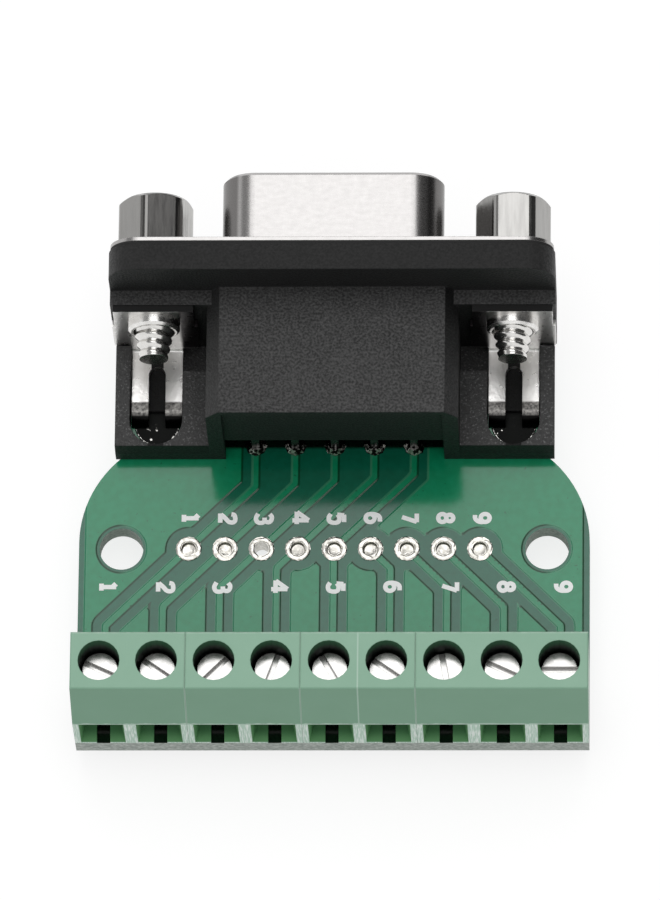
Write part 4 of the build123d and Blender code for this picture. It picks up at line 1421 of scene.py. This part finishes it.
@dataclass(frozen=True)
class Viewpoint:
    """The photograph's camera, as fitted to the socket's and the board's known sizes."""

    elevation: float = 70.0
    azimuth: float = 5.65
    roll: float = 5.37
    distance: float = 767.0
    focal_pixels: float = 10996.0
    sensor_mm: float = 36.0
    frame_width: int = 660
    frame_height: int = 900
    target: Point3 = (0.0, 0.0, 1.6)
    target_pixel: Point2 = (334.2, 548.9)

    def make_camera(self) -> None:
        """Creates the camera and makes it the scene's."""
        el, az, roll = (math.radians(v) for v in (self.elevation, self.azimuth, self.roll))
        back = Vector((math.sin(az) * math.cos(el), -math.cos(az) * math.cos(el), math.sin(el)))
        right = Vector((math.cos(az), math.sin(az), 0.0))
        up = back.cross(right)
        rolled_right = math.cos(roll) * right - math.sin(roll) * up
        rolled_up = math.sin(roll) * right + math.cos(roll) * up
        target = Vector(self.target) * MM
        place = target + back * self.distance * MM
        pixel = self.distance * MM / self.focal_pixels
        aim = target + rolled_right * (self.frame_width / 2 - self.target_pixel[0]) * pixel
        aim = aim + rolled_up * (self.target_pixel[1] - self.frame_height / 2) * pixel
        axis_z = (place - aim).normalized()
        axis_x = rolled_up.cross(axis_z).normalized()
        axis_y = axis_z.cross(axis_x)
        data = bpy.data.cameras.new("photograph_camera")
        data.sensor_width = self.sensor_mm
        data.lens = self.focal_pixels * self.sensor_mm / self.frame_height
        data.clip_start, data.clip_end = 0.01, 10.0
        camera = bpy.data.objects.new("photograph_camera", data)
        bpy.context.scene.collection.objects.link(camera)
        turned = Matrix((axis_x, axis_y, axis_z)).transposed().to_4x4()
        camera.matrix_world = Matrix.Translation(place) @ turned
        bpy.context.scene.camera = camera


@dataclass(frozen=True)
class Card:
    """A flat card beside the object that only shiny surfaces mirror."""

    name: str
    colour: str
    side: int
    foot_x: float
    foot_z: float
    head_x: float = 0.15
    head_z: float = 0.45
    half_length: float = 0.5

    def stand(self) -> None:
        """Stands the card in the studio."""
        material = bpy.data.materials.new(self.name)
        tree = emptied_tree(material)
        glow = add_node(tree, "ShaderNodeEmission", Color=linear(self.colour), Strength=1.0)
        add_node(tree, "ShaderNodeOutputMaterial", Surface=glow.outputs[0])
        bm = bmesh.new()
        head, foot = (self.head_x, self.head_z), (self.foot_x, self.foot_z)
        corners = ((head, -1), (foot, -1), (foot, 1), (head, 1))
        bm.faces.new([bm.verts.new((self.side * x, end * self.half_length, z)) for (x, z), end in corners])
        card = object_from(bm, self.name, material)
        card.visible_camera = False
        card.visible_diffuse = False
        card.visible_shadow = False
        card.visible_transmission = False
        card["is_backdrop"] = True


@dataclass(frozen=True)
class Studio:
    """White paper under soft light: a softbox overhead and behind, open shade, and cards at the sides."""

    sky_strength: float = 0.64
    softbox_radiance: float = 1.5
    softbox_place: Point3 = (-0.012, 0.150, 0.42)
    softbox_target: Point3 = (0.0, 0.002, 0.004)
    softbox_size: Point2 = (0.26, 0.34)
    paper_lit: float = 0.74
    paper_seen: float = 0.30
    paper_glow: float = 0.79
    paper_half_size: float = 1.5
    paper_gap: float = 0.02
    cards: tuple[Card, ...] = (Card("left_card", "#9a9a9a", side=-1, foot_x=0.36, foot_z=0.30),
                               Card("right_card", "#4a4a4a", side=1, foot_x=0.45, foot_z=0.0))

    def build(self) -> None:
        """Lays the floor, sets the lamp and the cards, and paints the world."""
        self.paint_world()
        self.lay_floor()
        self.hang_softbox()
        for card in self.cards:
            card.stand()
        bpy.context.scene.view_settings.view_transform = "Standard"

    @staticmethod
    def seen_rays(tree: NodeTree) -> Socket:
        """One for rays that see or mirror the surroundings, and zero for rays that only carry light.

        Args:
            tree: The node tree that asks.

        Returns:
            The value.
        """
        rays = add_node(tree, "ShaderNodeLightPath").outputs
        seen = rays["Is Camera Ray"]
        for name in ("Is Glossy Ray", "Is Transmission Ray"):
            seen = add_node(tree, "ShaderNodeMath", {"operation": "MAXIMUM"}, i0=seen,
                            i1=rays[name]).outputs[0]
        return seen

    def paint_world(self) -> None:
        """Paints the world white where it is seen or mirrored, and softer where it only lights."""
        world = bpy.data.worlds.new("white_studio")
        bpy.context.scene.world = world
        tree = emptied_tree(world)
        strength = add_node(tree, "ShaderNodeMapRange", Value=self.seen_rays(tree), To_Min=self.sky_strength,
                            To_Max=1.0)
        sky = add_node(tree, "ShaderNodeBackground", Color=(1, 1, 1, 1), Strength=strength.outputs["Result"])
        add_node(tree, "ShaderNodeOutputWorld", Surface=sky.outputs[0])

    def lay_floor(self) -> None:
        """Lays a white floor that the object's lowest points stand on and that keeps its shadow."""
        material = bpy.data.materials.new("white_paper")
        tree = emptied_tree(material)
        seen = self.seen_rays(tree)
        tone = add_node(tree, "ShaderNodeMapRange", Value=seen, To_Min=self.paper_lit, To_Max=self.paper_seen)
        glow = add_node(tree, "ShaderNodeMath", {"operation": "MULTIPLY"}, i0=seen, i1=self.paper_glow)
        light = add_node(tree, "ShaderNodeEmission", Color=(1, 1, 1, 1), Strength=glow.outputs[0])
        paper = add_node(tree, "ShaderNodeBsdfDiffuse", Color=tone.outputs["Result"])
        both = add_node(tree, "ShaderNodeAddShader", i0=light.outputs[0], i1=paper.outputs[0])
        add_node(tree, "ShaderNodeOutputMaterial", Surface=both.outputs[0])
        low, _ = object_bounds()
        bm = bmesh.new()
        bmesh.ops.create_grid(bm, x_segments=2, y_segments=2, size=self.paper_half_size)
        bmesh.ops.translate(bm, verts=bm.verts, vec=(0, 0, low.z - self.paper_gap * MM))
        object_from(bm, "floor", material)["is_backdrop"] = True

    def hang_softbox(self) -> None:
        """Hangs the softbox that faces the object and that its flat tops mirror to the camera."""
        data = bpy.data.lights.new("overhead_softbox", "AREA")
        data.shape = "RECTANGLE"
        data.size, data.size_y = self.softbox_size
        data.energy = self.softbox_radiance * math.pi * data.size * data.size_y
        lamp = bpy.data.objects.new("overhead_softbox", data)
        bpy.context.scene.collection.objects.link(lamp)
        lamp.location = self.softbox_place
        lamp.rotation_mode = "QUATERNION"
        facing = Vector(self.softbox_place) - Vector(self.softbox_target)
        lamp.rotation_quaternion = facing.to_track_quat("Z", "Y")


@dataclass
class Adapter:
    """The whole adapter: what dresses each node, and the pieces that are made here."""

    nodes: dict[str, bpy.types.Object]
    strip_sheet: float = 0.5
    bend_reach: float = 1.35
    insert_radius: float = 1.8
    gripped_edge: float = 0.24
    foot_height: float = 2.2
    hood_shade_y: float = 7.5
    hood_shade_half_width: float = 8.3
    block_shade: float = 0.12
    contact_tail_y: float = 12.0
    left_turn: float = -12.0
    left_reflections: Point3 = (0.95, 0.53, 1.6)
    right_turn: float = -3.5
    right_reflections: Point3 = (1.05, 1.06, 1.25)

    def __post_init__(self) -> None:
        """Makes the finishes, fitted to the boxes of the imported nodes."""
        block_low, block_high = box_mm("terminal_housing_1_to_2")
        bracket_low, bracket_high = box_mm("bracket_left")
        deck = box_mm("board")[1].z
        insert_x = box_mm("threaded_insert_right")[0].x + self.insert_radius
        lock_y = bracket_low.y + self.strip_sheet / 2
        block_end = box_mm("terminal_housing_7_to_9")[1].x
        parting = [box_mm(name)[1].x for name in self.nodes
                   if name.startswith("terminal_housing") and not name.endswith("to_9")]
        # Beside the partings of the modules, a mould line runs between the fifth and the sixth pole.
        seams = (*parting, POLE_PITCH / 2)
        self.mask = SolderMask(self.hood_shade_y, self.hood_shade_half_width,
                               block_high.y - self.block_shade).material()
        self.tin = TinnedCopper().material()
        self.housing = HousingPlastic(block_low.y, block_high.y, deck, block_end, seams).material()
        self.screw = BrightMetal("zinc_plated_screw", Plating.ZINC_SCREW, grain_mm=0.6,
                                 relief_mm=0.001).material()
        self.strip = BracketStrip(lock_y + self.bend_reach, lock_y, deck, bracket_high.z, insert_x).material()
        self.cage = BrightMetal("tinned_tail", Plating.TIN_TAIL, grain_mm=0.3).material()
        self.turned = BrightMetal("nickel_plated_brass", Plating.NICKEL_TURNED, grain_mm=0.3,
                                  stretch=(1, 8, 1), relief_mm=0.002, reflection_painted=True).material()
        self.collar = BrightMetal("nickel_plated_collar", Plating.NICKEL_COLLAR, grain_mm=0.4).material()
        self.solder = Solder(insert_x, lock_y).material()
        self.gold = BrightMetal("gold_flash", Plating.GOLD_FLASH, grain_mm=0.3,
                                tail_y=self.contact_tail_y).material()
        self.steel = DrawnSteel(rim_y=box_mm("socket_shell")[0].y + self.gripped_edge).material()
        self.black = BlackMoulding(feet_top=deck + self.foot_height, flange_top=box_mm("connector_body")[1].z,
                                   slit_x=insert_x).material()
        self.face = BlackMoulding(feet_top=0.0, flange_top=FAR, slit_x=FAR, name="black_socket_face",
                                  colour="#2c2c2c", dark="#1e1e1e", grain_mm=0.4, roughness=0.4).material()
        self.ink = PrintInk().material()

    def dress_nodes(self) -> None:
        """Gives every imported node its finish."""
        finishes = {
            "breakout_pads": self.tin,
            "terminal_housing": self.housing,
            "terminal_contact": self.cage,
            "clamp_cage": self.cage,
            "terminal_screw": self.screw,
            "socket_shell": self.steel,
            "socket_insulator": self.face,
            "socket_contact": self.gold,
            "connector_body": self.black,
            "bracket": self.strip,
            "threaded_insert": self.collar,
            "jackscrew": self.turned,
            "terminal_solder": self.solder,
            "socket_solder": self.solder,
            "board": self.mask,
        }
        for name, node in self.nodes.items():
            finish = next(material for start, material in finishes.items() if name.startswith(start))
            node.data.materials.clear()
            node.data.materials.append(finish)
            LOG.info("%s is dressed in %s", name, finish.name)

    def build(self) -> None:
        """Dresses the nodes and makes the board's pattern, numbers, rings and threads."""
        self.dress_nodes()
        board = CircuitBoard(self.nodes["board"])
        board.build(self.mask)
        board.print_numbers(self.ink)
        holes = TinnedHoles(board)
        holes.build(self.tin)
        holes.fill(self.tin)
        Jackscrew("left", self.left_turn, self.left_reflections).build(self.turned)
        Jackscrew("right", self.right_turn, self.right_reflections).build(self.turned)


def main() -> None:
    """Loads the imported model, dresses it and sets the studio round it."""
    logging.basicConfig(level=logging.INFO, format="%(message)s")
    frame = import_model()
    Adapter(frame["nodes"]).build()
    Studio().build()
    Viewpoint().make_camera()


if __name__ == "__main__":
    main()
